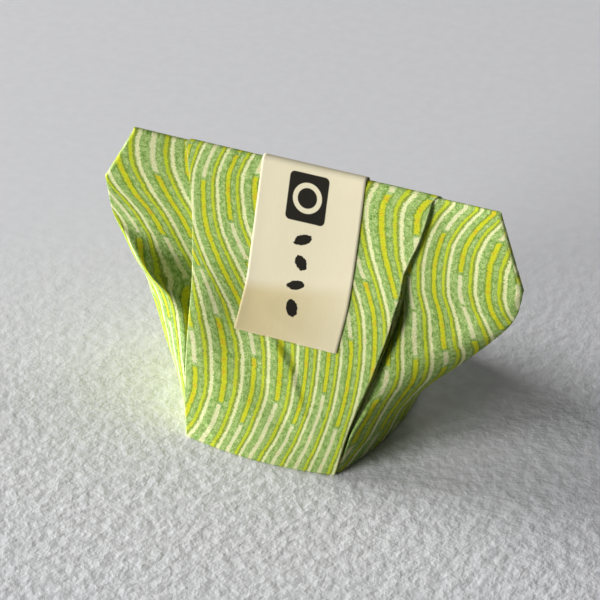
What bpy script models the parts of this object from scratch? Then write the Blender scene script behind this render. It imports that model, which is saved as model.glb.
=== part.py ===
"""A soft sweet wrapped in one sheet of patterned paper, with a paper label.

The sheet runs round a low soft block as a tube.  Its foot is folded flat, its
top is pinched into a straight ridge, and the slack at the sides stands out as
two flat ears whose top corners are folded to the back.  On the front and on
the back the sheet is pleated, so a panel with two raised edges lies over the
ears.  The label is a strip that is folded over the middle of the ridge.

Frame: +X along the ridge, -Y to the front, +Z up, origin under the middle of
the outline.  The outlines below are measured from the ridge's own middle.
"""

import math
from dataclasses import dataclass

import bmesh
import bpy
from mathutils import Matrix, Vector

MM = 0.001

# --- driving dimensions, in millimetres --------------------------------------
RIDGE_HEIGHT = 62.0
RIDGE_HALF_LENGTH = 45.0
RIDGE_HALF_THICKNESS = 0.9
RIDGE_PINCH = 0.45          # share of its thickness that the ridge keeps at its very crest
PANEL_RISE = 0.8            # how much higher the pleats make the ridge between their edges
PANEL_RISE_RUN = 3.0        # how far inside its edges the panel reaches that height
PANEL_RISE_DEPTH = 8.0      # how far below the crest the rise fades out
FOOT_RADIUS = 1.6           # rounding of the paper round the flat foot
SWELL_FADE = 6.0            # soft rises fade out this near to the foot and to the ridge
WELD = 1e-6                 # metres, far below the thinnest step

# Outlines are (height, value) stations, joined by a smooth curve.
FRONT_DEPTH = ((0, 29.6), (8, 27.4), (16, 23.2), (24.6, 17.2), (34, 10.4), (48, 5.2), (62, 0.9))
BACK_DEPTH = ((0, 28.4), (9, 26.6), (19, 22.4), (29, 15.2), (38, 9.0), (50, 4.4), (62, 0.9))
CREASE_DEPTH = ((0, 26.0), (7, 21.5), (17, 12.5), (24, 6.5), (28, 3.8), (33, 2.0), (42, 0.9), (62, 0.6))
SIDE_BULGE = ((0, 5.5), (10, 5.0), (17, 3.5), (26, 2.0), (34, 0.8), (62, 0.4))

# Each panel is fullest low down, where the block pushes it out.
PANEL_CROWN = 2.0
PANEL_CROWN_HEIGHT = 14.0
PANEL_CROWN_SPREAD = 16.0
FOOT_CROWN = 1.2
FOOT_CROWN_SPREAD = 4.0

# Pinched by hand, the ears and the right side come out to the front and up.
FORWARD = Vector((0.433, -1.0, 0.763))
EAR_BOW = 0.2               # slope by which an ear bends forward past the panel's edge
EAR_BOW_START = 4.0         # how softly that bend begins
EAR_BOW_FOOT = ((20, 0.0), (36, 1.0))
LEAN = ((-10, 0.0), (4, 0.3), (28, 2.0), (34, 2.3))
LEAN_FOOT = ((1, 0.0), (18, 1.0))

# The folded top corners of the ears, and the side flaps under the foot.
FLAP_THICKNESS = 0.5
FOOT_FLAP_STEP = 0.4
FOOT_FLAP_HALF_WIDTH = 21.0
FOOT_FLAP_HALF_DEPTH = 23.0
FOOT_FLAP_TIP = 5.0         # how near the flaps' points come to the middle

# The label, measured along the paper from the crest of the ridge.
LABEL_CENTRE = 0.4
LABEL_WIDTH = 25.8
LABEL_FRONT = 39.7
LABEL_BACK = 27.0
LABEL_THICKNESS = 0.3
LABEL_GAP = 0.3
LABEL_END_LIFT = 0.7
LABEL_END_LIFT_LENGTH = 12.0

# --- mesh density -------------------------------------------------------------
ROWS = 40
PANEL_COLUMNS = 18
WING_COLUMNS = 9
SIDE_COLUMNS = 6
FLAP_COLUMNS = 3
LABEL_COLUMNS = 10
LABEL_PITCH = 1.6           # length of one facet along the label
LABEL_BEND_ROWS = 6         # facets round the ridge
TRACE_STEP = 0.1            # height between the points at which the label's path is measured


@dataclass(frozen=True)
class Ear:
    """One end of the wrapper, left (-1) or right (+1)."""

    side: int
    elbow: tuple            # half width and height where the folded corner ends
    corner: float           # half width of the flat tube at the ridge
    crease: tuple           # half width of the fold that runs from the foot to the elbow
    front_edge: tuple       # half width of the front panel's edge
    front_step: tuple       # how far that edge stands proud of the ear
    back_edge: tuple
    back_step: tuple


@dataclass(frozen=True)
class Swell:
    """A soft rise (or dent, where the height is negative) in the paper."""

    x: float
    z: float
    along: float
    across: float
    turn: float
    height: float

    def at(self, x, z):
        """Height of the swell over the point (x, z)."""
        angle = math.radians(self.turn)
        u = (x - self.x) * math.cos(angle) + (z - self.z) * math.sin(angle)
        v = (z - self.z) * math.cos(angle) - (x - self.x) * math.sin(angle)
        return self.height * math.exp(-(u / self.along) ** 2 - (v / self.across) ** 2)


LEFT_EAR = Ear(
    side=-1,
    elbow=(53.0, 46.5),
    corner=54.5,
    crease=((0, 20.3), (7, 25.0), (17, 33.0), (24, 38.5), (28, 43.0), (33, 48.2), (36, 50.6), (46.5, 53.0)),
    front_edge=((0, 19.6), (15, 22.6), (26, 24.8), (37, 27.2), (47, 28.7), (62, 32.2)),
    front_step=((0, 0.8), (25, 1.3), (50, 0.9), (62, 0.4)),
    back_edge=((0, 18.6), (18, 22.0), (40, 26.4), (62, 30.6)),
    back_step=((0, 0.8), (25, 1.4), (50, 0.9), (62, 0.4)),
)

RIGHT_EAR = Ear(
    side=1,
    elbow=(51.0, 41.85),
    corner=52.5,
    crease=((0, 18.9), (7, 23.8), (17, 32.0), (26.6, 41.8), (31, 46.2), (36, 49.2), (41.85, 51.0)),
    front_edge=((0, 18.3), (9, 19.8), (19, 22.1), (33.5, 24.7), (45, 26.5), (62, 29.8)),
    front_step=((0, 1.0), (15, 2.0), (28, 2.6), (42, 1.8), (62, 0.4)),
    back_edge=((0, 19.2), (18, 22.8), (40, 27.2), (62, 31.4)),
    back_step=((0, 0.8), (22, 1.6), (50, 0.9), (62, 0.4)),
)

FRONT_SWELLS = (
    Swell(x=-32, z=28, along=9, across=3.6, turn=-4, height=-2.2),
    Swell(x=-27, z=17, along=6, across=6, turn=0, height=1.6),
    Swell(x=27, z=21, along=5, across=6, turn=40, height=1.5),
    Swell(x=33, z=30, along=9, across=3.4, turn=28, height=-1.5),
    Swell(x=3.5, z=20.5, along=8, across=1.6, turn=-46, height=0.9),
    Swell(x=-2, z=15, along=16, across=3.0, turn=-38, height=-0.5),
)

BACK_SWELLS = (
    Swell(x=-33, z=29, along=9, across=3.6, turn=6, height=-1.8),
    Swell(x=31, z=26, along=8, across=3.8, turn=-6, height=-2.0),
    Swell(x=-5, z=24, along=12, across=2.4, turn=30, height=-0.6),
    Swell(x=8, z=17, along=9, across=2.0, turn=-40, height=0.7),
)


BILLOW = Swell(x=-22, z=27, along=9, across=8, turn=0, height=1.5)


def station_slopes(stations):
    """Slope at each station, flat where the values turn, so the curve never overshoots."""
    pairs = list(zip(stations[:-1], stations[1:]))
    spans = [(after[1] - before[1]) / (after[0] - before[0]) for before, after in pairs]
    inner = [0.0 if a * b <= 0 else 2 * a * b / (a + b) for a, b in zip(spans[:-1], spans[1:])]
    return [spans[0], *inner, spans[-1]]


def value_at(stations, height):
    """Value of a smooth curve through the (height, value) stations."""
    if height <= stations[0][0]:
        return stations[0][1]
    if height >= stations[-1][0]:
        return stations[-1][1]
    slopes = station_slopes(stations)
    index = max(i for i, station in enumerate(stations) if station[0] <= height)
    low, start = stations[index]
    high, end = stations[index + 1]
    span = high - low
    t = (height - low) / span
    curve = start * (1 + 2 * t) * (1 - t) ** 2 + end * t * t * (3 - 2 * t)
    return curve + span * t * (1 - t) * (slopes[index] * (1 - t) - slopes[index + 1] * t)


def drawn_forward(place):
    """Where a point lies once the ears and the right side are drawn to the front."""
    ear = LEFT_EAR if place.x < 0 else RIGHT_EAR
    past = max(0.0, abs(place.x) - value_at(ear.front_edge, place.z))
    drawn = EAR_BOW * value_at(EAR_BOW_FOOT, place.z) * past * past / (past + EAR_BOW_START)
    lean = value_at(LEAN, place.x) + BILLOW.at(place.x, place.z)
    return place + FORWARD * (drawn + value_at(LEAN_FOOT, place.z) * lean)


def crease_width(ear, z):
    """Half width of the ear: its lower fold, and its folded top corner above the elbow."""
    width, height = ear.elbow
    if z <= height:
        return value_at(ear.crease, z)
    share = (z - height) / (RIDGE_HEIGHT - height)
    return width + (RIDGE_HALF_LENGTH - width) * share


def flap_tip(ear):
    """Where the flat tube's top corner lands when it is folded back: (half width, height)."""
    fold = Vector((ear.elbow[0] - RIDGE_HALF_LENGTH, ear.elbow[1] - RIDGE_HEIGHT)).normalized()
    corner = Vector((ear.corner - RIDGE_HALF_LENGTH, 0.0))
    mirrored = 2 * corner.dot(fold) * fold - corner
    return RIDGE_HALF_LENGTH + mirrored.x, RIDGE_HEIGHT + mirrored.y


def flap_width(ear, z):
    """Half width where the folded corner's free edge lies, on the back of the ear."""
    tip_width, tip_height = flap_tip(ear)
    if z <= ear.elbow[1]:
        return crease_width(ear, z)
    if z <= tip_height:
        share = (z - ear.elbow[1]) / (tip_height - ear.elbow[1])
        return ear.elbow[0] + (tip_width - ear.elbow[0]) * share
    share = (z - tip_height) / (RIDGE_HEIGHT - tip_height)
    return tip_width + (RIDGE_HALF_LENGTH - tip_width) * share


def swell_at(swells, x, z):
    """Sum of the soft rises over one point, fading out to nothing at foot and ridge."""
    fade = min(1.0, z / SWELL_FADE) * min(1.0, (RIDGE_HEIGHT - z) / SWELL_FADE)
    return fade * sum(swell.at(x, z) for swell in swells)


def panel_depth(depths, swells, edges, x, z):
    """Distance of a pleated panel from the middle plane at (x, z)."""
    left, right = edges
    share = min(1.0, max(0.0, (x - left) / (right - left)))
    arch = 4 * share * (1 - share)
    crown = PANEL_CROWN * math.exp(-((z - PANEL_CROWN_HEIGHT) / PANEL_CROWN_SPREAD) ** 2)
    crown += FOOT_CROWN * math.exp(-((z / FOOT_CROWN_SPREAD) ** 2))
    return value_at(depths, z) + arch * crown + arch * swell_at(swells, x, z)


def front_edges(z):
    """X of the front panel's left and right edges."""
    return -value_at(LEFT_EAR.front_edge, z), value_at(RIGHT_EAR.front_edge, z)


def back_edges(z):
    """X of the back panel's left and right edges."""
    return -value_at(LEFT_EAR.back_edge, z), value_at(RIGHT_EAR.back_edge, z)


def front_panel(share, z):
    """Point (x, y) on the front panel, from its left edge to its right edge."""
    left, right = front_edges(z)
    x = left + (right - left) * share
    return x, -panel_depth(FRONT_DEPTH, FRONT_SWELLS, (left, right), x, z)


def back_panel(share, z):
    """Point (x, y) on the back panel, from its right edge to its left edge."""
    left, right = back_edges(z)
    x = right + (left - right) * share
    return x, panel_depth(BACK_DEPTH, BACK_SWELLS, (left, right), x, z)


def front_ear(ear, share, z):
    """Point on the front of an ear, from under the panel's edge to the ear's fold."""
    inner = value_at(ear.front_edge, z)
    outer = crease_width(ear, z)
    foot = value_at(FRONT_DEPTH, z) - value_at(ear.front_step, z)
    x = ear.side * (inner + (outer - inner) * share)
    depth = foot + (value_at(CREASE_DEPTH, z) - foot) * share
    depth += 4 * share * (1 - share) * swell_at(FRONT_SWELLS, x, z)
    return x, -max(depth, value_at(CREASE_DEPTH, z) * min(1.0, 2 * share))


def side_face(ear, share, z):
    """Point on the side, from the front fold round to the back fold."""
    depth = value_at(CREASE_DEPTH, z)
    bulge = value_at(SIDE_BULGE, z) * (1 - (2 * share - 1) ** 2)
    return ear.side * (crease_width(ear, z) + bulge), depth * (2 * share - 1)


def back_ear(ear, share, z):
    """Point on the back of an ear, from its fold (0) to under the back panel's edge (1)."""
    inner = value_at(ear.back_edge, z)
    outer = crease_width(ear, z)
    foot = value_at(BACK_DEPTH, z) - value_at(ear.back_step, z)
    x = ear.side * (outer + (inner - outer) * share)
    depth = value_at(CREASE_DEPTH, z)
    depth += (foot - depth) * share
    depth += 4 * share * (1 - share) * swell_at(BACK_SWELLS, x, z)
    return x, max(depth, value_at(CREASE_DEPTH, z) * min(1.0, 2 * (1 - share)))


def flap_share(ear, z):
    """Share of the back of the ear, from its fold, that the folded corner covers."""
    outer = crease_width(ear, z)
    return (outer - flap_width(ear, z)) / (outer - value_at(ear.back_edge, z))


def folded_corner(ear, share, z):
    """Point on the folded corner, which lies one paper fold proud of the ear's back."""
    x, y = back_ear(ear, share * flap_share(ear, z), z)
    proud = FLAP_THICKNESS if z > ear.elbow[1] else 0.0
    return x, y + proud * min(1.0, 3 * share)


def bare_back(ear, share, z):
    """Point on the back of the ear inside the folded corner's free edge."""
    start = flap_share(ear, z)
    return back_ear(ear, start + (1 - start) * share, z)


def spans_round(z):
    """Points of one level, anticlockwise from the front panel's left edge."""
    right, left = RIGHT_EAR, LEFT_EAR
    spans = (
        (PANEL_COLUMNS, lambda s: front_panel(s, z)),
        (WING_COLUMNS, lambda s: front_ear(right, s, z)),
        (SIDE_COLUMNS, lambda s: side_face(right, s, z)),
        (FLAP_COLUMNS, lambda s: folded_corner(right, s, z)),
        (WING_COLUMNS, lambda s: bare_back(right, s, z)),
        (PANEL_COLUMNS, lambda s: back_panel(s, z)),
        (WING_COLUMNS, lambda s: bare_back(left, 1 - s, z)),
        (FLAP_COLUMNS, lambda s: folded_corner(left, 1 - s, z)),
        (SIDE_COLUMNS, lambda s: side_face(left, 1 - s, z)),
        (WING_COLUMNS, lambda s: front_ear(left, 1 - s, z)),
    )
    points = []
    for columns, place in spans:
        points.extend(place(step / columns) for step in range(columns + 1))
    return points


def foot_inset(z):
    """Share by which a level is drawn in where the paper turns under the foot."""
    if z >= FOOT_RADIUS:
        return 0.0
    reach = FOOT_RADIUS - math.sqrt(FOOT_RADIUS ** 2 - (FOOT_RADIUS - z) ** 2)
    return reach / value_at(FRONT_DEPTH, 0.0)


def panel_rise(x, z):
    """Extra height of the ridge where the two pleats lie in it."""
    left, right = front_edges(RIDGE_HEIGHT)
    inside = min((x - left) / PANEL_RISE_RUN, (right - x) / PANEL_RISE_RUN, 1.0)
    return PANEL_RISE * max(0.0, inside) * max(0.0, 1 - (RIDGE_HEIGHT - z) / PANEL_RISE_DEPTH)


def level_heights():
    """Heights of the rings: even steps, with extra ones round the foot and the ridge."""
    even = [RIDGE_HEIGHT * row / ROWS for row in range(1, ROWS)]
    return [0.0, FOOT_RADIUS / 3, *even, RIDGE_HEIGHT - RIDGE_HALF_THICKNESS / 2, RIDGE_HEIGHT]


def wrapper_level(z):
    """The level's points in metres, with the foot drawn in and the ridge rounded off."""
    inset = 1.0 - foot_inset(z)
    pinch = RIDGE_PINCH if z >= RIDGE_HEIGHT else 1.0
    level = []
    for x, y in spans_round(z):
        place = Vector((x * inset, y * inset * pinch, z + panel_rise(x, z)))
        level.append(drawn_forward(place) * MM)
    return level


def new_material(name, colour, roughness):
    """A Principled material of one colour."""
    material = bpy.data.materials.new(name)
    material.use_nodes = True
    shader = material.node_tree.nodes["Principled BSDF"]
    shader.inputs["Base Color"].default_value = (*colour, 1.0)
    shader.inputs["Roughness"].default_value = roughness
    shader.inputs["Metallic"].default_value = 0.0
    return material


def new_object(name, bm, material):
    """Put a finished bmesh into the scene as one named object."""
    mesh = bpy.data.meshes.new(name)
    bm.to_mesh(mesh)
    bm.free()
    mesh.materials.append(material)
    mesh.shade_smooth()
    mesh.set_sharp_from_angle(angle=math.radians(35))
    piece = bpy.data.objects.new(name, mesh)
    bpy.context.scene.collection.objects.link(piece)
    return piece


def shaped_grid(bm, columns, rows, place):
    """Lay a grid out with place(column, row), which gives each point in metres."""
    grid = bmesh.ops.create_grid(bm, x_segments=columns, y_segments=rows, size=0.5)
    for vert in grid["verts"]:
        column = round((vert.co.x + 0.5) * columns)
        row = round((vert.co.y + 0.5) * rows)
        vert.co = place(column, row)


def make_foot_cutter(side):
    """A three-sided prism that sets one side flap of the foot a paper fold higher."""
    bm = bmesh.new()
    corners = (
        (side * FOOT_FLAP_HALF_WIDTH, -FOOT_FLAP_HALF_DEPTH),
        (side * FOOT_FLAP_HALF_WIDTH, FOOT_FLAP_HALF_DEPTH),
        (side * FOOT_FLAP_TIP, 0.0),
    )
    triangle = bm.faces.new([bm.verts.new(Vector((x, y, -1.0)) * MM) for x, y in corners])
    prism = bmesh.ops.extrude_face_region(bm, geom=[triangle])
    raised = [item for item in prism["geom"] if isinstance(item, bmesh.types.BMVert)]
    bmesh.ops.translate(bm, verts=raised, vec=Vector((0, 0, 1.0 + FOOT_FLAP_STEP)) * MM)
    bmesh.ops.recalc_face_normals(bm, faces=bm.faces)
    cutter = new_object("foot_cutter", bm, new_material("cutter", (0.5, 0.5, 0.5), 0.5))
    cutter.hide_render = True
    cutter.display_type = "WIRE"
    return cutter


def make_wrapper():
    """The folded paper with its contents, as one closed solid."""
    levels = [wrapper_level(z) for z in level_heights()]
    around = len(levels[0])
    bm = bmesh.new()
    shaped_grid(bm, around, len(levels) - 1, lambda column, row: levels[row][column % around])
    bmesh.ops.remove_doubles(bm, verts=bm.verts, dist=WELD)
    bmesh.ops.holes_fill(bm, edges=[edge for edge in bm.edges if edge.is_boundary], sides=0)
    bmesh.ops.recalc_face_normals(bm, faces=bm.faces)
    wrapper = new_object("wrapper", bm, new_material("patterned_paper", (0.36, 0.52, 0.10), 0.75))
    for side in (-1, 1):
        recess = wrapper.modifiers.new("foot_flap", "BOOLEAN")
        recess.operation = "DIFFERENCE"
        recess.object = make_foot_cutter(side)
    return wrapper


def label_lift(distance, length):
    """Gap between the label and the wrapper: the free end stands off a little."""
    free = max(0.0, 1 - (length - distance) / LABEL_END_LIFT_LENGTH)
    return LABEL_GAP + LABEL_END_LIFT * free * free


def label_path(place, length):
    """Stations down one face from the ridge: (height, distance from the ridge)."""
    x = LABEL_CENTRE
    top = RIDGE_HEIGHT - RIDGE_HALF_THICKNESS
    path = [(top, 0.0)]
    while path[-1][1] < length:
        z, distance = path[-1]
        below = z - TRACE_STEP
        step = math.hypot(TRACE_STEP, place(x, below) - place(x, z))
        path.append((below, distance + step))
    return path


def height_at(path, distance):
    """Height on the label's path at a distance from the ridge."""
    index = min(range(len(path)), key=lambda i: abs(path[i][1] - distance))
    return path[index][0]


def front_y(x, z):
    """Y of the front panel at (x, z), without its wrinkles, which the stiff label bridges."""
    return -panel_depth(FRONT_DEPTH, (), front_edges(z), x, z)


def back_y(x, z):
    """Y of the back panel at (x, z), without its wrinkles."""
    return panel_depth(BACK_DEPTH, (), back_edges(z), x, z)


def off_panel(place, facing, x, z, gap):
    """Point that stands a gap off the panel, along the panel's own normal."""
    slope_x = (place(x + TRACE_STEP, z) - place(x - TRACE_STEP, z)) / (2 * TRACE_STEP)
    slope_z = (place(x, z + TRACE_STEP) - place(x, z - TRACE_STEP)) / (2 * TRACE_STEP)
    normal = Vector((-slope_x * facing, facing, -slope_z * facing)).normalized()
    return Vector((x, place(x, z), z + panel_rise(x, z))) + normal * gap


def make_label():
    """A strip of paper that goes over the ridge, a little off the panels."""
    front = label_path(front_y, LABEL_FRONT)
    back = label_path(back_y, LABEL_BACK)
    front_rows = round(LABEL_FRONT / LABEL_PITCH)
    back_rows = round(LABEL_BACK / LABEL_PITCH)
    rows = front_rows + LABEL_BEND_ROWS + back_rows
    left = LABEL_CENTRE - LABEL_WIDTH / 2

    def place(column, row):
        x = left + LABEL_WIDTH * column / LABEL_COLUMNS
        if row <= front_rows:
            distance = LABEL_FRONT * (1 - row / front_rows)
            gap = label_lift(distance, LABEL_FRONT)
            point = off_panel(front_y, -1, x, height_at(front, distance), gap)
        elif row >= front_rows + LABEL_BEND_ROWS:
            distance = LABEL_BACK * (row - front_rows - LABEL_BEND_ROWS) / back_rows
            gap = label_lift(distance, LABEL_BACK)
            point = off_panel(back_y, 1, x, height_at(back, distance), gap)
        else:
            start = off_panel(front_y, -1, x, front[0][0], LABEL_GAP)
            end = off_panel(back_y, 1, x, back[0][0], LABEL_GAP)
            angle = math.pi * (row - front_rows) / LABEL_BEND_ROWS
            middle = (start + end) / 2
            reach = (end - start) / 2
            crest = RIDGE_HALF_THICKNESS + LABEL_GAP + LABEL_GAP / 3
            point = middle - reach * math.cos(angle) + Vector((0, 0, crest * math.sin(angle)))
        return drawn_forward(point) * MM

    bm = bmesh.new()
    shaped_grid(bm, LABEL_COLUMNS, rows, place)
    bmesh.ops.recalc_face_normals(bm, faces=bm.faces)
    outward = sum((face.normal.y for face in bm.faces if face.calc_center_median().y < 0))
    if outward > 0:
        bmesh.ops.reverse_faces(bm, faces=bm.faces)
    label = new_object("label", bm, new_material("cream_paper", (0.66, 0.55, 0.33), 0.55))
    wall = label.modifiers.new("thickness", "SOLIDIFY")
    wall.thickness = LABEL_THICKNESS * MM
    wall.offset = 1.0
    wall.use_even_offset = True
    return label


def centre_outline(wrapper, others):
    """Move every mesh so the wrapper's outline is centred on the origin."""
    xs = [vert.co.x for vert in wrapper.data.vertices]
    ys = [vert.co.y for vert in wrapper.data.vertices]
    middle = Vector(((min(xs) + max(xs)) / 2, (min(ys) + max(ys)) / 2, 0.0))
    for piece in (wrapper, *others):
        piece.data.transform(Matrix.Translation(-middle))


def main():
    """Clear the scene, build the two pieces and centre them."""
    for old in list(bpy.data.objects):
        bpy.data.objects.remove(old)
    wrapper = make_wrapper()
    label = make_label()
    cutters = [recess.object for recess in wrapper.modifiers]
    centre_outline(wrapper, (label, *cutters))


main()
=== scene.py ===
"""Looks of a soft sweet wrapped in wavy-striped paper, with a cream paper label.

The wrapper is shown as the sheet it is made of: a closed body with its two ears,
the two pleats that lie over it and run on under the foot, and the folded corners
behind the ears.  Sizes are in millimetres, measured from the middle of the ridge
on the ground; the frame says where that point is.
"""

import logging
import math
from collections.abc import Callable, Sequence
from dataclasses import dataclass
from enum import Enum
from functools import cached_property

import bmesh
import bpy
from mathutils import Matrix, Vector, noise


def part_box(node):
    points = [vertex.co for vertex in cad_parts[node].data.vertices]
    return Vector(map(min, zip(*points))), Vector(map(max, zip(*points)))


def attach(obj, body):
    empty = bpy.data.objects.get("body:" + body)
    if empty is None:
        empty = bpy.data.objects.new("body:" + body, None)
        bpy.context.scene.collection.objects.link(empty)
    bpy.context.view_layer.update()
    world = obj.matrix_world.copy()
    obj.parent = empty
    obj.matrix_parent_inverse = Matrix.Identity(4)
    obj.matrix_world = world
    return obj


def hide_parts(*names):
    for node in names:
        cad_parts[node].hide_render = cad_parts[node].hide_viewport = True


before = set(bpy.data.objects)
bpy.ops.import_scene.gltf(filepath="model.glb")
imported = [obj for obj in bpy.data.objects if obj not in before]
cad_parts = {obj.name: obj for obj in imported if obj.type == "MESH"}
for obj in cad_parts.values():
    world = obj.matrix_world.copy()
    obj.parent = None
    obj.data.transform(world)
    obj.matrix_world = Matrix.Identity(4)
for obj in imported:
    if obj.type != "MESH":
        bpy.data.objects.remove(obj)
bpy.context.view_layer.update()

LOG = logging.getLogger("wrapped_sweet")
MM = 0.001
BODY = "root"
PRINT_LAYER = "print"
FOLD_LAYER = "fold"
SHARP_FOLD = math.radians(50)
WELD = 0.001
STRIPE_PITCH = 6.2
STEEPEST = 30.0

# Where the ridge's middle stands from the middle of the wrapper's box: across and deep.
RIDGE_PLACE = (-1.42, 0.55)

# A point inside the object, in metres, that the open sheets look away from.
INSIDE = Vector((0, 0, 0.03))

Colour = tuple[float, float, float, float]


def screen_colour(red: int, green: int, blue: int) -> Colour:
    """Turn an 8-bit screen colour into a shader colour.

    Args:
        red: red, 0 to 255.
        green: green, 0 to 255.
        blue: blue, 0 to 255.

    Returns:
        The same colour in linear light, with an alpha of 1.
    """
    def linear(value: int) -> float:
        """Linear light of one channel."""
        share = value / 255
        return share / 12.92 if share <= 0.04045 else ((share + 0.055) / 1.055) ** 2.4

    return (linear(red), linear(green), linear(blue), 1.0)


def blend(start: float, end: float, share: float) -> float:
    """Value a share of the way from start to end."""
    return start + (end - start) * share


def limit(value: float, low: float = 0.0, high: float = 1.0) -> float:
    """Value kept between low and high."""
    return min(high, max(low, value))


def share_between(value: float, start: float, end: float) -> float:
    """Share of the way from start to end at which a value lies, kept from 0 to 1."""
    return limit((value - start) / (end - start))


def hump(share: float, steepness: float = 4.0) -> float:
    """Rise from 0 at both ends of a stretch to 1 in its middle; a steep one has a level top."""
    return limit(steepness * share * (1 - share))


def soft_bend(start: Vector, corner: Vector, end: Vector, share: float) -> Vector:
    """Point of a bend that leaves start toward the corner and comes from there to the end."""
    return start * (1 - share) ** 2 + corner * 2 * share * (1 - share) + end * share * share


@dataclass(frozen=True)
class Curve:
    """A smooth curve through a few (place, value) stations, which it never overshoots."""

    stations: tuple[tuple[float, float], ...]

    @cached_property
    def slopes(self) -> list[float]:
        """Work out the slope at each station, flat where the values turn.

        Returns:
            The slopes, in the order of the stations.
        """
        pairs = zip(self.stations[:-1], self.stations[1:])
        spans = [(after[1] - before[1]) / (after[0] - before[0]) for before, after in pairs]
        inner = [0.0 if a * b <= 0 else 2 * a * b / (a + b) for a, b in zip(spans[:-1], spans[1:])]
        return [spans[0], *inner, spans[-1]]

    @cached_property
    def known(self) -> dict[float, float]:
        """Values that were worked out before."""
        return {}

    def at(self, place: float) -> float:
        """Read the curve, which is held level past its ends.

        Args:
            place: where to read it.

        Returns:
            The value there, which is kept for the next time.
        """
        if place not in self.known:
            self.known[place] = self.work_out(place)
        return self.known[place]

    def work_out(self, place: float) -> float:
        """Work out the curve between the two stations round a place.

        Args:
            place: where to read it.

        Returns:
            The value there.
        """
        if place <= self.stations[0][0]:
            return self.stations[0][1]
        if place >= self.stations[-1][0]:
            return self.stations[-1][1]
        index = max(i for i, station in enumerate(self.stations) if station[0] <= place)
        low, start = self.stations[index]
        high, end = self.stations[index + 1]
        span = high - low
        t = (place - low) / span
        curve = start * (1 + 2 * t) * (1 - t) ** 2 + end * t * t * (3 - 2 * t)
        return curve + span * t * (1 - t) * (self.slopes[index] * (1 - t) - self.slopes[index + 1] * t)


@dataclass(frozen=True)
class GuideLine:
    """One cream line of the print, followed down the paper from the ridge."""

    count: int
    course: Curve


@dataclass(frozen=True)
class StripeField:
    """The wavy stripes of one face, spaced evenly between its guide lines.

    Past the ridge, where the distance down is negative, every line goes on from
    where it met the ridge and sways as the sway curve says.
    """

    guides: tuple[GuideLine, ...]
    count_shift: int = 0
    down_shift: float = 0.0
    sway: Curve = Curve(((0, 0), (14, 3.5), (32, -4.5), (52, -5.5), (70, 3.0), (95, 6.0)))

    @cached_property
    def rows(self) -> dict[float, list[float]]:
        """Places of the guide lines, by distance down."""
        return {}

    def places(self, down: float) -> list[float]:
        """Find the guide lines at one distance down the paper.

        Args:
            down: distance down the paper from the ridge, in millimetres.

        Returns:
            How far across each line lies, in millimetres.
        """
        if down not in self.rows:
            sway = self.sway.at(-down) if down < 0 else 0.0
            self.rows[down] = [guide.course.at(max(0.0, down)) + sway for guide in self.guides]
        return self.rows[down]

    def count_at(self, across: float, down: float) -> float:
        """Number of stripes passed at a point of the paper.

        Args:
            across: distance across the paper, in millimetres.
            down: distance down the paper from the ridge, in millimetres.

        Returns:
            The stripe count, whole on a cream line.
        """
        places = self.places(down)
        index = sum(1 for place in places[1:-1] if place <= across)
        low, high = places[index], places[index + 1]
        first, last = self.guides[index].count, self.guides[index + 1].count
        return blend(first, last, (across - low) / (high - low)) + self.count_shift


@dataclass(frozen=True)
class Ear:
    """One end of the wrapper, left (-1) or right (+1).

    Widths are half widths from the ridge's middle, and every curve runs over the height.
    The elbow (width, height) is where the folded top corner starts, and the corner is how
    wide the ear would be at the ridge without that fold.  A face runs from a panel's edge,
    where it lies one step deeper than the panel, to the fold into the side.  The reach is
    how round that fold is; the sag bends the face and the fullness bends the side.  The
    bow foot is the share of the bow to the front at each height, and the crease is a narrow
    dent beside the front panel's edge.
    """

    side: int
    elbow: tuple[float, float]
    corner: float
    side_line: Curve
    front_fold: Curve
    fold_depth: Curve
    fold_reach: Curve
    face_sag: Curve
    side_fullness: Curve
    front_edge: Curve
    front_step: Curve
    back_edge: Curve
    back_step: Curve
    print_field: StripeField
    bow_foot: Curve = Curve(((20, 0.0), (36, 1.0)))
    crease: Curve = Curve(((0, 0.0), (62, 0.0)))
    crease_width: float = 1.2

    def edge(self, front: bool) -> Curve:
        """Half width at which the front or the back face runs under its panel."""
        return self.front_edge if front else self.back_edge

    def step(self, front: bool) -> Curve:
        """How far the front or the back face lies under its panel's edge."""
        return self.front_step if front else self.back_step


@dataclass(frozen=True)
class Swell:
    """A soft rise (or dent, where the height is negative) in the paper."""

    x: float
    z: float
    along: float
    across: float
    turn: float
    height: float

    def local(self, x: float, z: float) -> tuple[float, float]:
        """Measure a point from the middle of the swell.

        Args:
            x: place of the point across the face.
            z: its height.

        Returns:
            Its distances along and across the swell.
        """
        angle = math.radians(self.turn)
        u = (x - self.x) * math.cos(angle) + (z - self.z) * math.sin(angle)
        v = (z - self.z) * math.cos(angle) - (x - self.x) * math.sin(angle)
        return u, v

    def at(self, x: float, z: float) -> float:
        """Height of the swell over the point (x, z)."""
        u, v = self.local(x, z)
        return self.height * math.exp(-(u / self.along) ** 2 - (v / self.across) ** 2)


@dataclass(frozen=True)
class Tuck(Swell):
    """A crisp little fold: one side stands proud of a sharp line and falls away slowly.

    The lip is how soft the line is, and the low share is how far the other side lies
    under the sheet, as a share of the height.
    """

    lip: float = 0.35
    low_share: float = 0.35

    def at(self, x: float, z: float) -> float:
        """Work out the height of the tuck over a point.

        Args:
            x: place of the point across the face.
            z: its height.

        Returns:
            The height, in millimetres.
        """
        u, v = self.local(x, z)
        rise = 1 / (1 + math.exp(-limit(v / self.lip, -STEEPEST, STEEPEST)))
        far = math.exp(-abs(v) / self.across)
        return self.height * (rise - self.low_share) * far * math.exp(-(u / self.along) ** 2)


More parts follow.
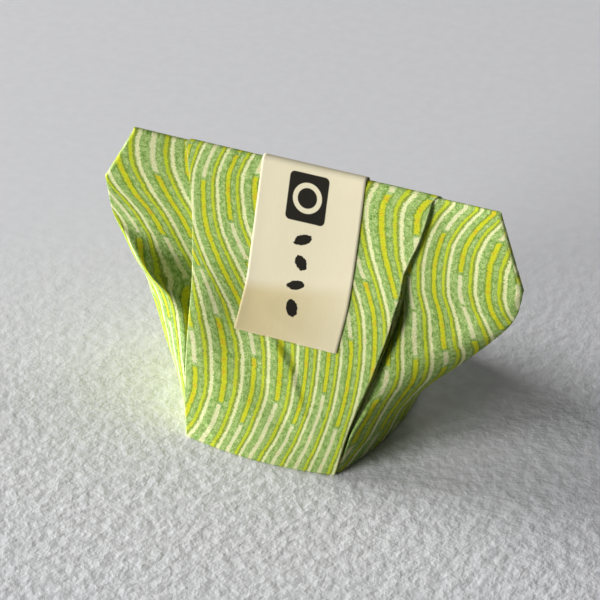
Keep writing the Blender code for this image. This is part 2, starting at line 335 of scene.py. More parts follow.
LEFT_EAR = Ear(
    side=-1,
    elbow=(53.0, 46.5),
    corner=54.5,
    side_line=Curve((
        (0, 24.0), (7, 27.3), (12, 30.4), (16, 33.9), (21, 38.2), (26, 42.6), (29, 45.4), (32, 48.0),
        (36, 51.1), (46.5, 53.4))),
    front_fold=Curve((
        (0, 20.2), (7, 21.9), (14, 23.5), (20, 24.8), (24.5, 26.4), (26.5, 28.2), (27.8, 31.0),
        (29.2, 34.8), (30.6, 38.4), (32.4, 42.3), (34.2, 46.1), (35.8, 49.8), (37.5, 51.4), (46.5, 53.0))),
    fold_depth=Curve((
        (0, 28.0), (7, 26.0), (14, 23.2), (20, 19.7), (24.5, 16.9), (26.5, 15.2), (27.8, 14.0),
        (29.2, 12.5), (30.6, 10.4), (32.4, 7.5), (34.2, 4.6), (35.8, 2.2), (37.5, 1.3), (46.5, 0.9),
        (62, 0.6))),
    face_sag=Curve(((0, 1.0), (24, 1.0), (28, 2.4), (36, 2.4), (42, 1.0))),
    fold_reach=Curve(((0, 1.2), (8, 2.0), (17, 2.0), (25, 1.4), (31, 1.0), (38, 0.6), (62, 0.4))),
    side_fullness=Curve(((0, 4.0), (14, 4.2), (22, 3.1), (28, 2.2), (34, 2.0))),
    front_edge=Curve(((0, 19.6), (15, 22.6), (26, 24.8), (37, 27.2), (47, 28.7), (62, 32.2))),
    front_step=Curve((
        (0, 0.8), (12, 0.8), (20, 1.0), (24.5, 3.5), (27, 8.5), (29, 9.4), (31, 8.8), (33, 7.6), (38, 4.4),
        (44, 2.0), (50, 0.9), (62, 0.3))),
    back_edge=Curve(((0, 18.6), (18, 22.0), (40, 26.4), (62, 30.6))),
    back_step=Curve(((0, 0.8), (25, 1.4), (50, 0.9), (62, 0.4))),
    print_field=StripeField(
        guides=(
            GuideLine(-3, Curve((
                (0, -61.0), (8, -63.0), (15, -60.5), (20, -55.5), (25, -49.0), (29, -45.0), (32.5, -41.0),
                (36, -37.0), (38, -34.5), (41, -32.7), (43.6, -30.9), (48, -28.6), (54, -26.0),
                (62, -23.0)))),
            GuideLine(-2, Curve((
                (0, -52.5), (8, -54.5), (14.4, -52.0), (17.5, -49.5), (19.7, -46.6), (22.4, -43.0),
                (25.7, -40.6), (29.2, -38.0), (31.8, -34.7), (33.6, -31.6), (36, -29.3), (39, -27.6),
                (43, -25.9), (47.3, -23.9), (54, -20.5), (62, -16.5)))),
            GuideLine(-1, Curve((
                (0, -43.8), (4, -44.7), (8.4, -44.2), (12.5, -42.0), (16.2, -39.2), (19.7, -35.9),
                (23.1, -33.4), (28.3, -31.4), (31.9, -28.8), (36, -24.0), (42, -20.0), (62, -11.0)))),
            GuideLine(0, Curve((
                (0, -35.3), (3, -35.5), (6.9, -35.0), (9.9, -33.5), (13.6, -31.0), (18, -27.6), (25, -24.5),
                (33, -20.5), (62, -6.0)))),
        ),
        count_shift=20,
    ),
)

RIGHT_EAR = Ear(
    side=1,
    elbow=(51.0, 41.85),
    corner=52.5,
    side_line=Curve((
        (0, 25.0), (3, 26.0), (7, 27.6), (11.7, 31.5), (15.7, 35.4), (21, 40.1), (26.2, 44.5), (31.8, 48.6),
        (36, 50.4), (41.85, 51.4))),
    front_fold=Curve((
        (0, 18.9), (9, 20.5), (13.3, 22.2), (16, 23.7), (18.3, 25.8), (23.4, 30.8), (27, 36.0),
        (30.5, 41.4), (34.5, 46.8), (38, 49.5), (41.85, 51.0))),
    fold_depth=Curve((
        (0, 28.6), (9, 26.2), (13.3, 23.4), (16, 20.5), (18.3, 17.0), (23.4, 12.0), (27, 8.5), (30.5, 4.8),
        (34.5, 2.0), (38, 1.2), (42, 0.9), (62, 0.6))),
    fold_reach=Curve((
        (0, 2.0), (8, 3.0), (17, 4.5), (25, 4.0), (31, 2.6), (38, 1.0), (42, 0.6), (62, 0.4))),
    face_sag=Curve(((0, 1.0), (62, 1.0))),
    side_fullness=Curve(((0, 2.0), (8, 1.5), (14, 1.25), (26, 1.25), (34, 2.0))),
    front_edge=Curve((
        (0, 18.3), (9, 19.6), (16, 21.1), (21, 22.4), (26, 23.3), (30, 23.9), (34, 24.2), (38.5, 24.9),
        (43, 25.1), (47, 26.2), (52, 27.8), (62, 29.8))),
    front_step=Curve((
        (0, 1.0), (12, 1.2), (20, 1.4), (24, 1.8), (28, 3.4), (32, 4.2), (36, 3.2), (40, 2.0), (46, 1.6),
        (54, 1.5), (62, 0.5))),
    back_edge=Curve(((0, 19.2), (18, 22.8), (40, 27.2), (62, 31.4))),
    back_step=Curve(((0, 0.8), (22, 1.6), (50, 0.9), (62, 0.4))),
    print_field=StripeField(
        guides=(
            GuideLine(-2, Curve((
                (0, 23.5), (8, 19.5), (16, 17.4), (28, 18.8), (36, 21.6), (40.4, 22.3), (46.8, 21.2),
                (49.5, 20.5), (56, 17.0), (62, 12.0)))),
            GuideLine(-1, Curve((
                (0, 26.5), (8, 23.4), (16, 22.8), (22, 23.4), (28, 24.8), (32.5, 25.9), (36.5, 27.4),
                (41, 28.7), (46, 29.3), (51, 30.0), (55, 29.4), (57, 27.6), (58.5, 24.6), (62, 20.0)))),
            GuideLine(0, Curve((
                (0, 34.8), (4.8, 31.6), (10.7, 29.4), (16.2, 28.8), (22, 29.3), (27.2, 30.5), (33.5, 32.6),
                (38.2, 34.8), (42, 36.2), (46, 38.0), (52, 39.2), (58, 37.0), (62, 33.0)))),
            GuideLine(1, Curve((
                (0, 41.5), (5.4, 37.6), (11.3, 35.1), (16.8, 34.6), (21.8, 34.9), (27.7, 36.6), (32, 38.5),
                (34.8, 39.9), (36.2, 41.2), (42, 44.5), (50, 47.5), (62, 45.0)))),
            GuideLine(2, Curve((
                (0, 48.2), (3, 45.7), (7.9, 42.5), (14.4, 40.8), (19.9, 40.8), (25.4, 41.9), (29.6, 44.2),
                (31.5, 45.4), (36, 48.5), (42, 52.0), (62, 55.0)))),
            GuideLine(3, Curve((
                (0, 54.5), (6, 50.5), (12.5, 48.3), (16.4, 47.5), (21.4, 47.5), (26, 48.6), (31, 52.0),
                (42, 59.0), (62, 64.0)))),
        ),
        count_shift=12,
        down_shift=3.0,
    ),
    bow_foot=Curve(((6, 0.0), (20, 1.0))),
    crease=Curve(((2, 0.0), (8, 1.5), (18, 2.6), (30, 3.0), (38, 1.5), (44, 0.5))),
)

PANEL_PRINT = StripeField(
    guides=(
        GuideLine(-1, Curve((
            (0, -33.5), (17, -34.0), (30, -26.3), (38, -21.5), (47.5, -16.8), (56, -15.0), (63, -16.2),
            (70, -19.5), (100, -24.0)))),
        GuideLine(0, Curve((
            (0, -27.5), (8, -29.3), (17, -28.2), (26, -24.0), (37.5, -14.0), (46.5, -8.8), (54, -7.5),
            (62, -8.6), (70, -11.2), (100, -16.0)))),
        GuideLine(2, Curve((
            (0, -15.3), (6, -17.0), (14, -15.5), (19.5, -12.8), (30, -4.0), (41, 3.8), (53, 5.5), (62, 3.6),
            (70, 0.5), (100, -4.0)))),
        GuideLine(5, Curve((
            (0, 6.0), (6, 5.5), (15, 8.5), (23.5, 13.3), (32, 17.5), (42, 20.0), (49, 20.5), (60, 19.5),
            (70, 17.5), (100, 12.0)))),
        GuideLine(7, Curve((
            (0, 25.0), (5, 22.8), (13.5, 23.8), (20, 26.0), (30, 29.5), (42, 31.0), (60, 30.5), (70, 28.0),
            (100, 22.0)))),
    ),
)


@dataclass(frozen=True)
class WrapperForm:
    """Sizes of the folded paper, and the surfaces that follow from them.

    Depths are distances from the middle plane, and every curve runs over the height,
    except the lean, which runs over x.  The bow draws the ears to the front along the
    bow's way, and the lean draws the right side there.  The billow and the rim are soft
    rises along the same way.
    """

    ridge_height: float = 62.0
    ridge_half_length: float = 45.0
    left: Ear = LEFT_EAR
    right: Ear = RIGHT_EAR
    front_depth: Curve = Curve((
        (0, 30.3), (8, 27.4), (16, 23.2), (24.6, 17.2), (34, 10.4), (48, 5.2), (62, 0.9)))
    back_depth: Curve = Curve((
        (0, 28.4), (9, 26.6), (19, 22.4), (29, 15.2), (38, 9.0), (50, 4.4), (62, 0.9)))
    back_fold_depth: Curve = Curve((
        (0, 26.0), (7, 21.5), (17, 12.5), (24, 6.5), (28, 3.8), (33, 2.0), (42, 0.9), (62, 0.6)))
    back_bulge: Curve = Curve(((0, 5.5), (10, 5.0), (17, 3.5), (26, 2.0), (34, 0.8), (40, 0.4)))
    ear_edge_round: float = 0.4
    bow: float = 0.2
    bow_start: float = 4.0
    lean: Curve = Curve(((-10, 0.0), (4, 0.3), (28, 2.0), (34, 2.3)))
    lean_foot: Curve = Curve(((1, 0.0), (18, 1.0)))
    billow: Swell = Swell(x=-24, z=27, along=9, across=9, turn=0, height=2.2)
    billow_front: float = 3.0
    rim: Swell = Swell(x=-36.0, z=28.6, along=9.0, across=1.8, turn=-23.4, height=2.5)
    rim_start: float = 1.5
    bow_way: tuple[float, float, float] = (0.433, -1.0, 0.763)
    panel_crown: float = 2.0
    panel_crown_height: float = 14.0
    panel_crown_spread: float = 16.0
    foot_crown: float = 1.2
    foot_crown_spread: float = 4.0
    foot_radius: float = 0.8
    swell_fade: float = 6.0
    crumple_fade: float = 14.0
    crumple_apart: float = 40.0
    tuck_fade: float = 1.5
    tuck_steepness: float = 8.0
    front_swells: tuple[Swell, ...] = (
        Swell(x=-2, z=15, along=16, across=3.0, turn=-38, height=-0.5),
    )
    front_tucks: tuple[Tuck, ...] = (
        Tuck(x=0.8, z=23.2, along=3.8, across=1.8, turn=-37, height=-1.5, lip=0.16),
        Tuck(x=5.8, z=18.2, along=4.6, across=1.6, turn=-53, height=-0.8, lip=0.22),
        Tuck(x=-14.5, z=4.5, along=4.0, across=1.2, turn=-50, height=0.6),
        Tuck(x=-16.5, z=2.6, along=2.6, across=1.0, turn=28, height=0.6),
    )
    back_swells: tuple[Swell, ...] = (
        Swell(x=-33, z=29, along=9, across=3.6, turn=6, height=-1.8),
        Swell(x=31, z=26, along=8, across=3.8, turn=-6, height=-2.0),
        Swell(x=-5, z=24, along=12, across=2.4, turn=30, height=-0.6),
        Swell(x=8, z=17, along=9, across=2.0, turn=-40, height=0.7),
    )

    def corner_fold(self, ear: Ear, z: float) -> float:
        """Half width of the ear above its elbow, where its top corner is folded back."""
        width, height = ear.elbow
        return blend(width, self.ridge_half_length, (z - height) / (self.ridge_height - height))

    def side_line(self, ear: Ear, z: float) -> float:
        """Half width at the middle of the side, the outermost line of the ear."""
        above = self.corner_fold(ear, z) + self.ear_edge_round
        return ear.side_line.at(z) if z <= ear.elbow[1] else above

    def fold(self, ear: Ear, z: float, front: bool) -> Vector:
        """Find the fold between one face of an ear and the side.

        Args:
            ear: the ear.
            z: height.
            front: whether it is the front face.

        Returns:
            Half width and depth of the fold.
        """
        if z > ear.elbow[1]:
            width = self.corner_fold(ear, z)
        elif front:
            width = ear.front_fold.at(z)
        else:
            width = ear.side_line.at(z) - self.back_bulge.at(z)
        depth = ear.fold_depth if front else self.back_fold_depth
        return Vector((width, depth.at(z)))

    def bowed(self, place: Vector, on_panel: bool = False) -> Vector:
        """Where a point lies once the ears and the right side are drawn to the front.

        Args:
            place: the point of the flat form.
            on_panel: whether it lies on the pleated strip, whose left edge billows out.

        Returns:
            The point of the real form.
        """
        ear = self.left if place.x < 0 else self.right
        reach = max(0.0, abs(place.x) - ear.front_edge.at(place.z))
        drawn = self.bow * ear.bow_foot.at(place.z) * reach * reach / (reach + self.bow_start)
        drawn += self.lean_foot.at(place.z) * self.lean.at(place.x)
        if on_panel:
            drawn += limit(-place.y / self.billow_front) * self.billow.at(place.x, place.z)
        drawn += reach / (reach + self.rim_start) * self.rim.at(place.x, place.z)
        return place + Vector(self.bow_way) * drawn

    def flap_tip(self, ear: Ear) -> tuple[float, float]:
        """Find where the flat tube's top corner lands when it is folded back.

        Args:
            ear: the ear.

        Returns:
            Half width and height of the tip.
        """
        fold = Vector((ear.elbow[0] - self.ridge_half_length, ear.elbow[1] - self.ridge_height)).normalized()
        corner = Vector((ear.corner - self.ridge_half_length, 0.0))
        mirrored = 2 * corner.dot(fold) * fold - corner
        return self.ridge_half_length + mirrored.x, self.ridge_height + mirrored.y

    def foot_inset(self, z: float) -> float:
        """Work out how far a level is drawn in where the paper turns under the foot.

        Args:
            z: height of the level.

        Returns:
            The share by which the level is smaller.
        """
        if z >= self.foot_radius:
            return 0.0
        below = self.foot_radius - max(0.0, z)
        reach = self.foot_radius - math.sqrt(self.foot_radius ** 2 - below ** 2)
        return reach / self.front_depth.at(0.0)

    def swell_at(self, swells: Sequence[Swell], x: float, z: float) -> float:
        """Sum of the soft rises over one point, fading out to nothing at foot and ridge."""
        fade = limit(z / self.swell_fade) * limit((self.ridge_height - z) / self.swell_fade)
        return fade * sum(swell.at(x, z) for swell in swells)

    def crumple_at(self, x: float, z: float, sheet: float, size: float) -> float:
        """Work out the small rise of hand-folded paper, which fades out at foot and ridge.

        Args:
            x: place across the sheet.
            z: height.
            sheet: a number that gives each sheet a crumple of its own.
            size: how wide the rises are, in millimetres.

        Returns:
            The rise, from -1 to 1.
        """
        fade = limit(z / self.swell_fade) * limit((self.ridge_height - z) / self.crumple_fade)
        return fade * noise.noise(Vector((x, z, sheet * self.crumple_apart)) / size)

    def crown_at(self, x: float, z: float, left: float, right: float) -> float:
        """Work out how far a panel stands out from its edges, where the block fills it.

        Args:
            x: place across the panel.
            z: height.
            left: x of the panel's left edge.
            right: x of its right edge.

        Returns:
            The distance, in millimetres.
        """
        crown = self.panel_crown * math.exp(-((z - self.panel_crown_height) / self.panel_crown_spread) ** 2)
        crown += self.foot_crown * math.exp(-(z / self.foot_crown_spread) ** 2)
        return hump(share_between(x, left, right)) * crown

    def edges(self, z: float, front: bool) -> tuple[float, float]:
        """X of the front or the back panel's left and right edges."""
        return -self.left.edge(front).at(z), self.right.edge(front).at(z)

    def steps(self, z: float, front: bool) -> tuple[float, float]:
        """How far the body lies under a panel at its left and right edges."""
        return self.left.step(front).at(z), self.right.step(front).at(z)

    def depth(self, z: float, front: bool) -> float:
        """Distance of a panel's edges from the middle plane."""
        return self.front_depth.at(z) if front else self.back_depth.at(z)

    def smooth(self, x: float, z: float, front: bool) -> float:
        """Distance of a panel from the middle plane, without its wrinkles."""
        return self.depth(z, front) + self.crown_at(x, z, *self.edges(z, front))

    def wrinkled(self, x: float, z: float, front: bool) -> float:
        """Work out how far a panel lies from the middle plane, wrinkles and all.

        Args:
            x: place across the panel.
            z: height.
            front: whether it is the front panel.

        Returns:
            The distance, in millimetres.
        """
        share = share_between(x, *self.edges(z, front))
        depth = self.smooth(x, z, front)
        depth += hump(share) * self.swell_at(self.front_swells if front else self.back_swells, x, z)
        if front:
            tucks = sum(tuck.at(x, z) for tuck in self.front_tucks)
            depth += hump(share, self.tuck_steepness) * limit(z / self.tuck_fade) * tucks
        return depth


FORM = WrapperForm()


@dataclass(frozen=True)
class Spot:
    """A point of a sheet of paper, in millimetres, its place in the print, and how folded it is."""

    place: Vector
    count: float
    down: float
    fold: float = 0.0


class PaperGrid:
    """A grid of paper whose every point is given by its column and its row."""

    def __init__(self, name: str, rows: Sequence[Sequence[Spot]], offset: Vector) -> None:
        """Lay out the grid.

        Args:
            name: name of the piece.
            rows: the spots, row by row, all rows of the same length.
            offset: where the middle of the ridge stands on the ground, in millimetres.
        """
        self.name = name
        self.thickness = 0.0
        self.mesh = bmesh.new()
        columns = len(rows[0]) - 1
        self.count_layer = self.mesh.loops.layers.uv.new(PRINT_LAYER)
        fold_layer = self.mesh.verts.layers.float.new(FOLD_LAYER)
        grid = bmesh.ops.create_grid(self.mesh, x_segments=columns, y_segments=len(rows) - 1, size=0.5)
        spots: dict[bmesh.types.BMVert, Spot] = {}
        for vert in grid["verts"]:
            column = round((vert.co.x + 0.5) * columns)
            row = round((vert.co.y + 0.5) * (len(rows) - 1))
            spot = rows[row][column]
            spots[vert] = spot
            vert.co = (spot.place + offset) * MM
            vert[fold_layer] = spot.fold
        for face in self.mesh.faces:
            for loop in face.loops:
                spot = spots[loop.vert]
                loop[self.count_layer].uv = (spot.count, spot.down)

    def close(self) -> None:
        """Join the edges that meet, shut the open ends, lay the print flat over them and face outward."""
        bmesh.ops.remove_doubles(self.mesh, verts=self.mesh.verts, dist=WELD * MM)
        rims = [edge for edge in self.mesh.edges if edge.is_boundary]
        caps = bmesh.ops.holes_fill(self.mesh, edges=rims, sides=0)["faces"]
        for loop in (loop for face in caps for loop in face.loops):
            x, y, _ = loop.vert.co / MM
            loop[self.count_layer].uv = (x / STRIPE_PITCH, y)
        bmesh.ops.recalc_face_normals(self.mesh, faces=self.mesh.faces)

    def stay_open(self, thickness: float) -> None:
        """Turn an open sheet so that it looks away from the inside of the object.

        Args:
            thickness: thickness of the sheet, in millimetres, half of it to each side.
        """
        self.thickness = thickness
        bmesh.ops.recalc_face_normals(self.mesh, faces=self.mesh.faces)
        looks = 0.0
        for face in self.mesh.faces:
            looks += (face.calc_center_median() - INSIDE).dot(face.normal) * face.calc_area()
        if looks < 0:
            bmesh.ops.reverse_faces(self.mesh, faces=self.mesh.faces)

    def finish(self, material: bpy.types.Material) -> bpy.types.Object:
        """Make the piece from its grid.

        Args:
            material: what the piece is made of.

        Returns:
            The finished object, at the origin.
        """
        data = bpy.data.meshes.new(self.name)
        self.mesh.to_mesh(data)
        self.mesh.free()
        data.materials.append(material)
        data.shade_smooth()
        data.set_sharp_from_angle(angle=SHARP_FOLD)
        piece = bpy.data.objects.new(self.name, data)
        bpy.context.scene.collection.objects.link(piece)
        if self.thickness:
            wall = piece.modifiers.new("thickness", "SOLIDIFY")
            wall.thickness = self.thickness * MM
            wall.offset = 0.0
            wall.use_even_offset = True
        return piece


@dataclass(frozen=True)
class PrintedPiece:
    """A piece of the printed paper, whose grid its own class lays out.

    The offset is where the middle of the ridge stands on the ground.
    """

    offset: Vector

    def grid(self) -> PaperGrid:
        """Lay out the piece, which each class does in its own way."""
        raise NotImplementedError

    def build(self, material: bpy.types.Material) -> bpy.types.Object:
        """Build the piece and stand it for the wrapper.

        Args:
            material: the printed paper.

        Returns:
            The finished piece.
        """
        piece = self.grid().finish(material)
        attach(piece, BODY)
        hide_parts("wrapper")
        return piece


@dataclass(frozen=True)
class WrapperBody(PrintedPiece):
    """The closed paper body: both ears, the sides, and what lies under the pleats."""

    levels: int = 150
    hidden_columns: int = 6
    face_columns: int = 62
    corner_columns: int = 12
    side_columns: int = 16
    crest_levels: int = 5
    crest_turn: float = math.radians(82)
    lowest: float = 0.12
    under_panel: float = 0.45
    back_reach: float = 0.8
    most_of_face: float = 0.45
    most_of_side: float = 0.9
    back_sag: float = 1.0
    back_fullness: float = 2.0
    thinnest: float = 0.5
    crumple: float = 0.16
    crumple_size: float = 7.0
    crumple_steepness: float = 8.0

    def heights(self) -> list[float]:
        """Heights of the levels from the foot to just below the crest, two of them close to the ground."""
        top = FORM.ridge_height - self.crest_half
        return [self.lowest, self.lowest * 2, *(top * row / self.levels for row in range(1, self.levels + 1))]

    @property
    def crest_half(self) -> float:
        """Half thickness of the flat ears at the ridge."""
        return FORM.back_fold_depth.at(FORM.ridge_height)

    def flank(self, ear: Ear, z: float, front: bool) -> list[tuple[float, float, float]]:
        """Follow one face of an ear from under the panel's edge round to the middle of the side.

        Args:
            ear: the ear.
            z: height of the level.
            front: whether it is the front face.

        Returns:
            Half width, depth and distance across the print at each column.
        """
        start = Vector((ear.edge(front).at(z), FORM.depth(z, front) - ear.step(front).at(z)))
        fold = FORM.fold(ear, z, front)
        face = fold - start
        reach = ear.fold_reach.at(z) if front else self.back_reach
        reach = min(reach, self.most_of_face * face.length, self.most_of_side * fold.y)
        turn = fold - face.normalized() * reach
        bulge = FORM.side_line(ear, z) - fold.x
        fullness = ear.side_fullness.at(z) if front else self.back_fullness

        def side(depth: float) -> Vector:
            """Point of the bulging side at one depth."""
            return Vector((fold.x + bulge * (1 - (depth / fold.y) ** fullness), depth))

        end = side(fold.y - reach)
        points = self.face(ear, z, front, start, turn)
        points = [Vector((point.x, max(point.y, min(self.thinnest, fold.y)))) for point in points]
        flank = [(point.x, point.y, point.x) for point in points]
        points = points[-1:]
        for column in range(1, self.corner_columns + 1):
            points.append(soft_bend(turn, fold, end, column / self.corner_columns))
        for column in range(1, self.side_columns + 1):
            points.append(side(end.y * (1 - column / self.side_columns)))
        across = points[0].x
        for before, point in zip(points, points[1:]):
            across += (point - before).length
            flank.append((point.x, point.y, across))
        return flank

    def face(self, ear: Ear, z: float, front: bool, start: Vector, turn: Vector) -> list[Vector]:
        """Follow an ear's face from the panel's edge to where it starts to turn into the side.

        Args:
            ear: the ear.
            z: height of the level.
            front: whether it is the front face.
            start: half width and depth at the panel's edge.
            turn: half width and depth where the face ends.

        Returns:
            The points, with the face's sag, its soft rises, its crumple and its crease.
        """
        swells = FORM.front_swells if front else FORM.back_swells
        sag = ear.face_sag.at(z) if front else self.back_sag
        sheet = 1.0 if front else -1.0
        points: list[Vector] = []
        for column in range(self.face_columns + 1):
            share = column / self.face_columns
            point = Vector((blend(start.x, turn.x, share), blend(start.y, turn.y, share ** sag)))
            rise = FORM.swell_at(swells, ear.side * point.x, z)
            rise += self.crumple * FORM.crumple_at(ear.side * point.x, z, sheet, self.crumple_size)
            rise *= hump(share, self.crumple_steepness)
            if front:
                rise -= ear.crease.at(z) * math.exp(-(point.x - start.x) / ear.crease_width)
            points.append(Vector((point.x, point.y + rise)))
        return points

    def hidden(self, z: float, front: bool) -> list[Spot]:
        """Follow the body under a panel: left to right in front, right to left at the back.

        Args:
            z: height of the level.
            front: whether it lies under the front panel.

        Returns:
            The spots at the least height that they may have.
        """
        edges, steps, depth = FORM.edges(z, front), FORM.steps(z, front), FORM.depth(z, front)
        way = 1.0 if front else -1.0
        down = FORM.ridge_height - z
        spots = []
        for column in range(self.hidden_columns + 1):
            share = column / self.hidden_columns if front else 1 - column / self.hidden_columns
            place = Vector((blend(*edges, share), way * (blend(*steps, share) - depth), self.under_panel))
            spots.append(Spot(place, PANEL_PRINT.count_at(place.x, down * way), down))
        return spots

    def ear_face(self, ear: Ear, z: float, front: bool) -> list[Spot]:
        """Follow one face of an ear and its half of the side, from under the panel's edge outward.

        Args:
            ear: the ear.
            z: height of the level.
            front: whether it is the front face.

        Returns:
            The spots at the least height that they may have.
        """
        points = self.flank(ear, z, front)
        if not front:
            whole = self.flank(ear, z, True)[-1][2] + points[-1][2]
            points = [(x, y, whole - across) for x, y, across in points]
        down = FORM.ridge_height - z
        spots = []
        for x, y, across in points:
            count = ear.print_field.count_at(ear.side * across, down)
            place = Vector((ear.side * x, -y if front else y, 0.0))
            spots.append(Spot(place, count, down + ear.print_field.down_shift))
        return spots

    def level(self, z: float, shrink: float = 1.0, rise: float = 0.0) -> list[Spot]:
        """One level of the body, anticlockwise from the front panel's left edge.

        Args:
            z: height of the level.
            shrink: share of the half thickness that is left at the crest.
            rise: how much higher the points lie than the level they were taken from.

        Returns:
            The spots, the last one on top of the first.
        """
        draw = 1.0 - FORM.foot_inset(z)
        loop: list[Spot] = []
        for front, ear in ((True, FORM.right), (False, FORM.left)):
            loop += self.hidden(z, front)
            loop += self.ear_face(ear, z, front)
            loop += reversed(self.ear_face(ear, z, not front))
        spots = []
        for spot in loop:
            x, y, least = spot.place
            place = FORM.bowed(Vector((x * draw, y * draw * shrink, max(z + rise, least))))
            spots.append(Spot(place, spot.count, spot.down))
        return spots

    def crest(self) -> list[list[Spot]]:
        """Follow the rounded crest of the ridge.

        Returns:
            Its levels, from the lowest up.
        """
        base = FORM.ridge_height - self.crest_half
        angles = [self.crest_turn * index / self.crest_levels for index in range(1, self.crest_levels + 1)]
        return [self.level(base, math.cos(angle), self.crest_half * math.sin(angle)) for angle in angles]

    def grid(self) -> PaperGrid:
        """Lay out the body.

        Returns:
            Its closed grid.
        """
        rows = [self.level(z) for z in self.heights()] + self.crest()
        grid = PaperGrid("wrapper_body", rows, self.offset)
        grid.close()
        return grid


@dataclass(frozen=True)
class PleatRow:
    """One cross-section of the pleated panels.

    The section lies over a base line, and stands off it by a height that the
    panel's own shape gives, along one direction.
    """

    left: float
    right: float
    base: Callable[[float], Vector]
    normal: Vector
    height: Callable[[float], float]
    down: float


@dataclass(frozen=True)
class PleatedPanels(PrintedPiece):
    """The front and back panels: one strip that goes over the ridge and on under the foot.

    The clearance is its gap to the body, and the lift run is how far in from a lifted edge
    its underside stays off the body.
    """

    front_rows: int = 190
    back_rows: int = 90
    crest_rows: int = 10
    foot_rows: int = 8
    under_rows: int = 8
    panel_columns: int = 170
    fold_columns: int = 8
    under_columns: int = 20
    fold_radius: float = 0.22
    least_radius: float = 0.05
    slack: float = 0.01
    worn_reach: float = 0.35
    clearance: float = 0.06
    lift_run: float = 6.0
    crest_base: float = 0.5
    crest_height: float = 0.4
    crest_lead: float = 0.45
    rise: float = 0.45
    rise_depth: float = 8.0
    under_length: float = 31.0
    under_taper: float = 0.55
    under_front: float = 0.02
    under_back: float = 0.20
    under_base: float = 0.45
    crumple: float = 0.12
    crumple_size: float = 6.0
    crumple_steepness: float = 6.0

    @property
    def crest_length(self) -> float:
        """Paper that lies over the crest, past what the front's distances already count."""
        return math.pi * (self.crest_base + self.crest_height) - 2 * self.crest_lead

    def lift_at(self, z: float) -> float:
        """Extra height of the ridge where the pleats lie in it."""
        return self.rise * limit(1 - (FORM.ridge_height - z) / self.rise_depth)

    def face_row(self, z: float, front: bool, down: float) -> PleatRow:
        """Cross-section of the front or the back panel.

        Args:
            z: height of the section.
            front: whether it is the front panel.
            down: distance down the paper from the ridge, negative at the back.

        Returns:
            The cross-section.
        """
        edges, steps, depth = FORM.edges(z, front), FORM.steps(z, front), FORM.depth(z, front)
        draw = 1.0 - FORM.foot_inset(z)
        way = -1.0 if front else 1.0

        def base(x: float) -> Vector:
            """Point of the body under the panel."""
            under = depth - blend(*steps, share_between(x, *edges))
            return Vector((x * draw, way * under * draw, z + self.lift_at(z)))

        def height(x: float) -> float:
            """Work out the height of the panel over the body.

            Args:
                x: place across the panel.

            Returns:
                The height, in millimetres.
            """
            share = share_between(x, *edges)
            crumple = self.crumple * FORM.crumple_at(x, z, way, self.crumple_size)
            proud = (FORM.wrinkled(x, z, front) - depth) * draw + blend(*steps, share)
            return proud + crumple * hump(share, self.crumple_steepness)

        return PleatRow(*edges, base, Vector((0, way, 0)), height, down)

    def crest_row(self, angle: float) -> PleatRow:
        """Cross-section where the strip goes over the ridge.

        Args:
            angle: turn from the front (0) to the back (pi).

        Returns:
            The cross-section.
        """
        front, back = (FORM.edges(FORM.ridge_height, face) for face in (True, False))
        left, right = (blend(start, end, angle / math.pi) for start, end in zip(front, back))
        way = Vector((0, -math.cos(angle), math.sin(angle)))
        middle = FORM.ridge_height + self.rise - self.crest_base - self.crest_height
        base = Vector((0, 0, middle)) + way * self.crest_base
        down = self.crest_lead - angle * (self.crest_base + self.crest_height)
        return PleatRow(left, right, lambda x: base + Vector((x, 0, 0)), way,
                        lambda x: self.crest_height, down)

    def under_row(self, share: float, front: bool, down: float) -> PleatRow:
        """Cross-section of the flap under the foot.

        Args:
            share: share of the flap's length from its fold (0) to its end (1).
            front: whether it is the front panel's flap.
            down: distance down the paper from the ridge, negative at the back.

        Returns:
            The cross-section.
        """
        left, right = FORM.edges(0.0, front)
        crown = FORM.crown_at((left + right) / 2, 0.0, left, right)
        draw = 1.0 - FORM.foot_inset(0.0)
        start = FORM.depth(0.0, front) * draw
        way = -1.0 if front else 1.0
        taper = blend(1.0, self.under_taper, share) * draw
        height = self.under_base - (self.under_front if front else self.under_back)

        def base(x: float) -> Vector:
            """Point of the foot over the flap."""
            out = hump(share_between(x / taper, left, right)) * crown * (1 - share) ** 2
            return Vector((x, way * (start + out - self.under_length * share), self.under_base))

        return PleatRow(left * taper, right * taper, base, Vector((0, 0, -1)), lambda x: height, down)

    def ring(self, row: PleatRow) -> list[Spot]:
        """Closed loop round one cross-section: over the panel and back underneath it.

        Args:
            row: the cross-section.

        Returns:
            The spots, the last one on top of the first.
        """
        spots: list[Spot] = []
        edges = (row.left, row.right)
        heights = [row.height(edge) for edge in edges]
        radii = [limit((height - self.clearance) / 2 - self.slack, self.least_radius, self.fold_radius)
                 for height in heights]
        left, right = row.left + radii[0], row.right - radii[1]

        def add(x: float, height: float, fold: float = 0.0) -> None:
            """Add one spot."""
            place = FORM.bowed(row.base(x) + row.normal * height, True)
            spots.append(Spot(place, PANEL_PRINT.count_at(x, row.down), row.down, fold))

        for column in range(self.panel_columns + 1):
            x = blend(left, right, column / self.panel_columns)
            near = min(x - row.left, row.right - x)
            add(x, row.height(x), math.exp(-(near / self.worn_reach) ** 2))
        self.add_fold(add, row.right, -1.0, radii[1], heights[1])
        for column in range(1, self.under_columns):
            x = blend(right, left, column / self.under_columns)
            lifts = [(height - 2 * radius - self.clearance) * self.lift_share(abs(x - edge))
                     for edge, radius, height in zip(edges, radii, heights)]
            add(x, self.clearance + max(*lifts, 0.0))
        self.add_fold(add, row.left, 1.0, radii[0], heights[0])
        spots.append(spots[0])
        return spots

    def lift_share(self, distance: float) -> float:
        """How much of a lifted edge's height the underside keeps at a distance from it."""
        return limit(1 - distance / self.lift_run) ** 2

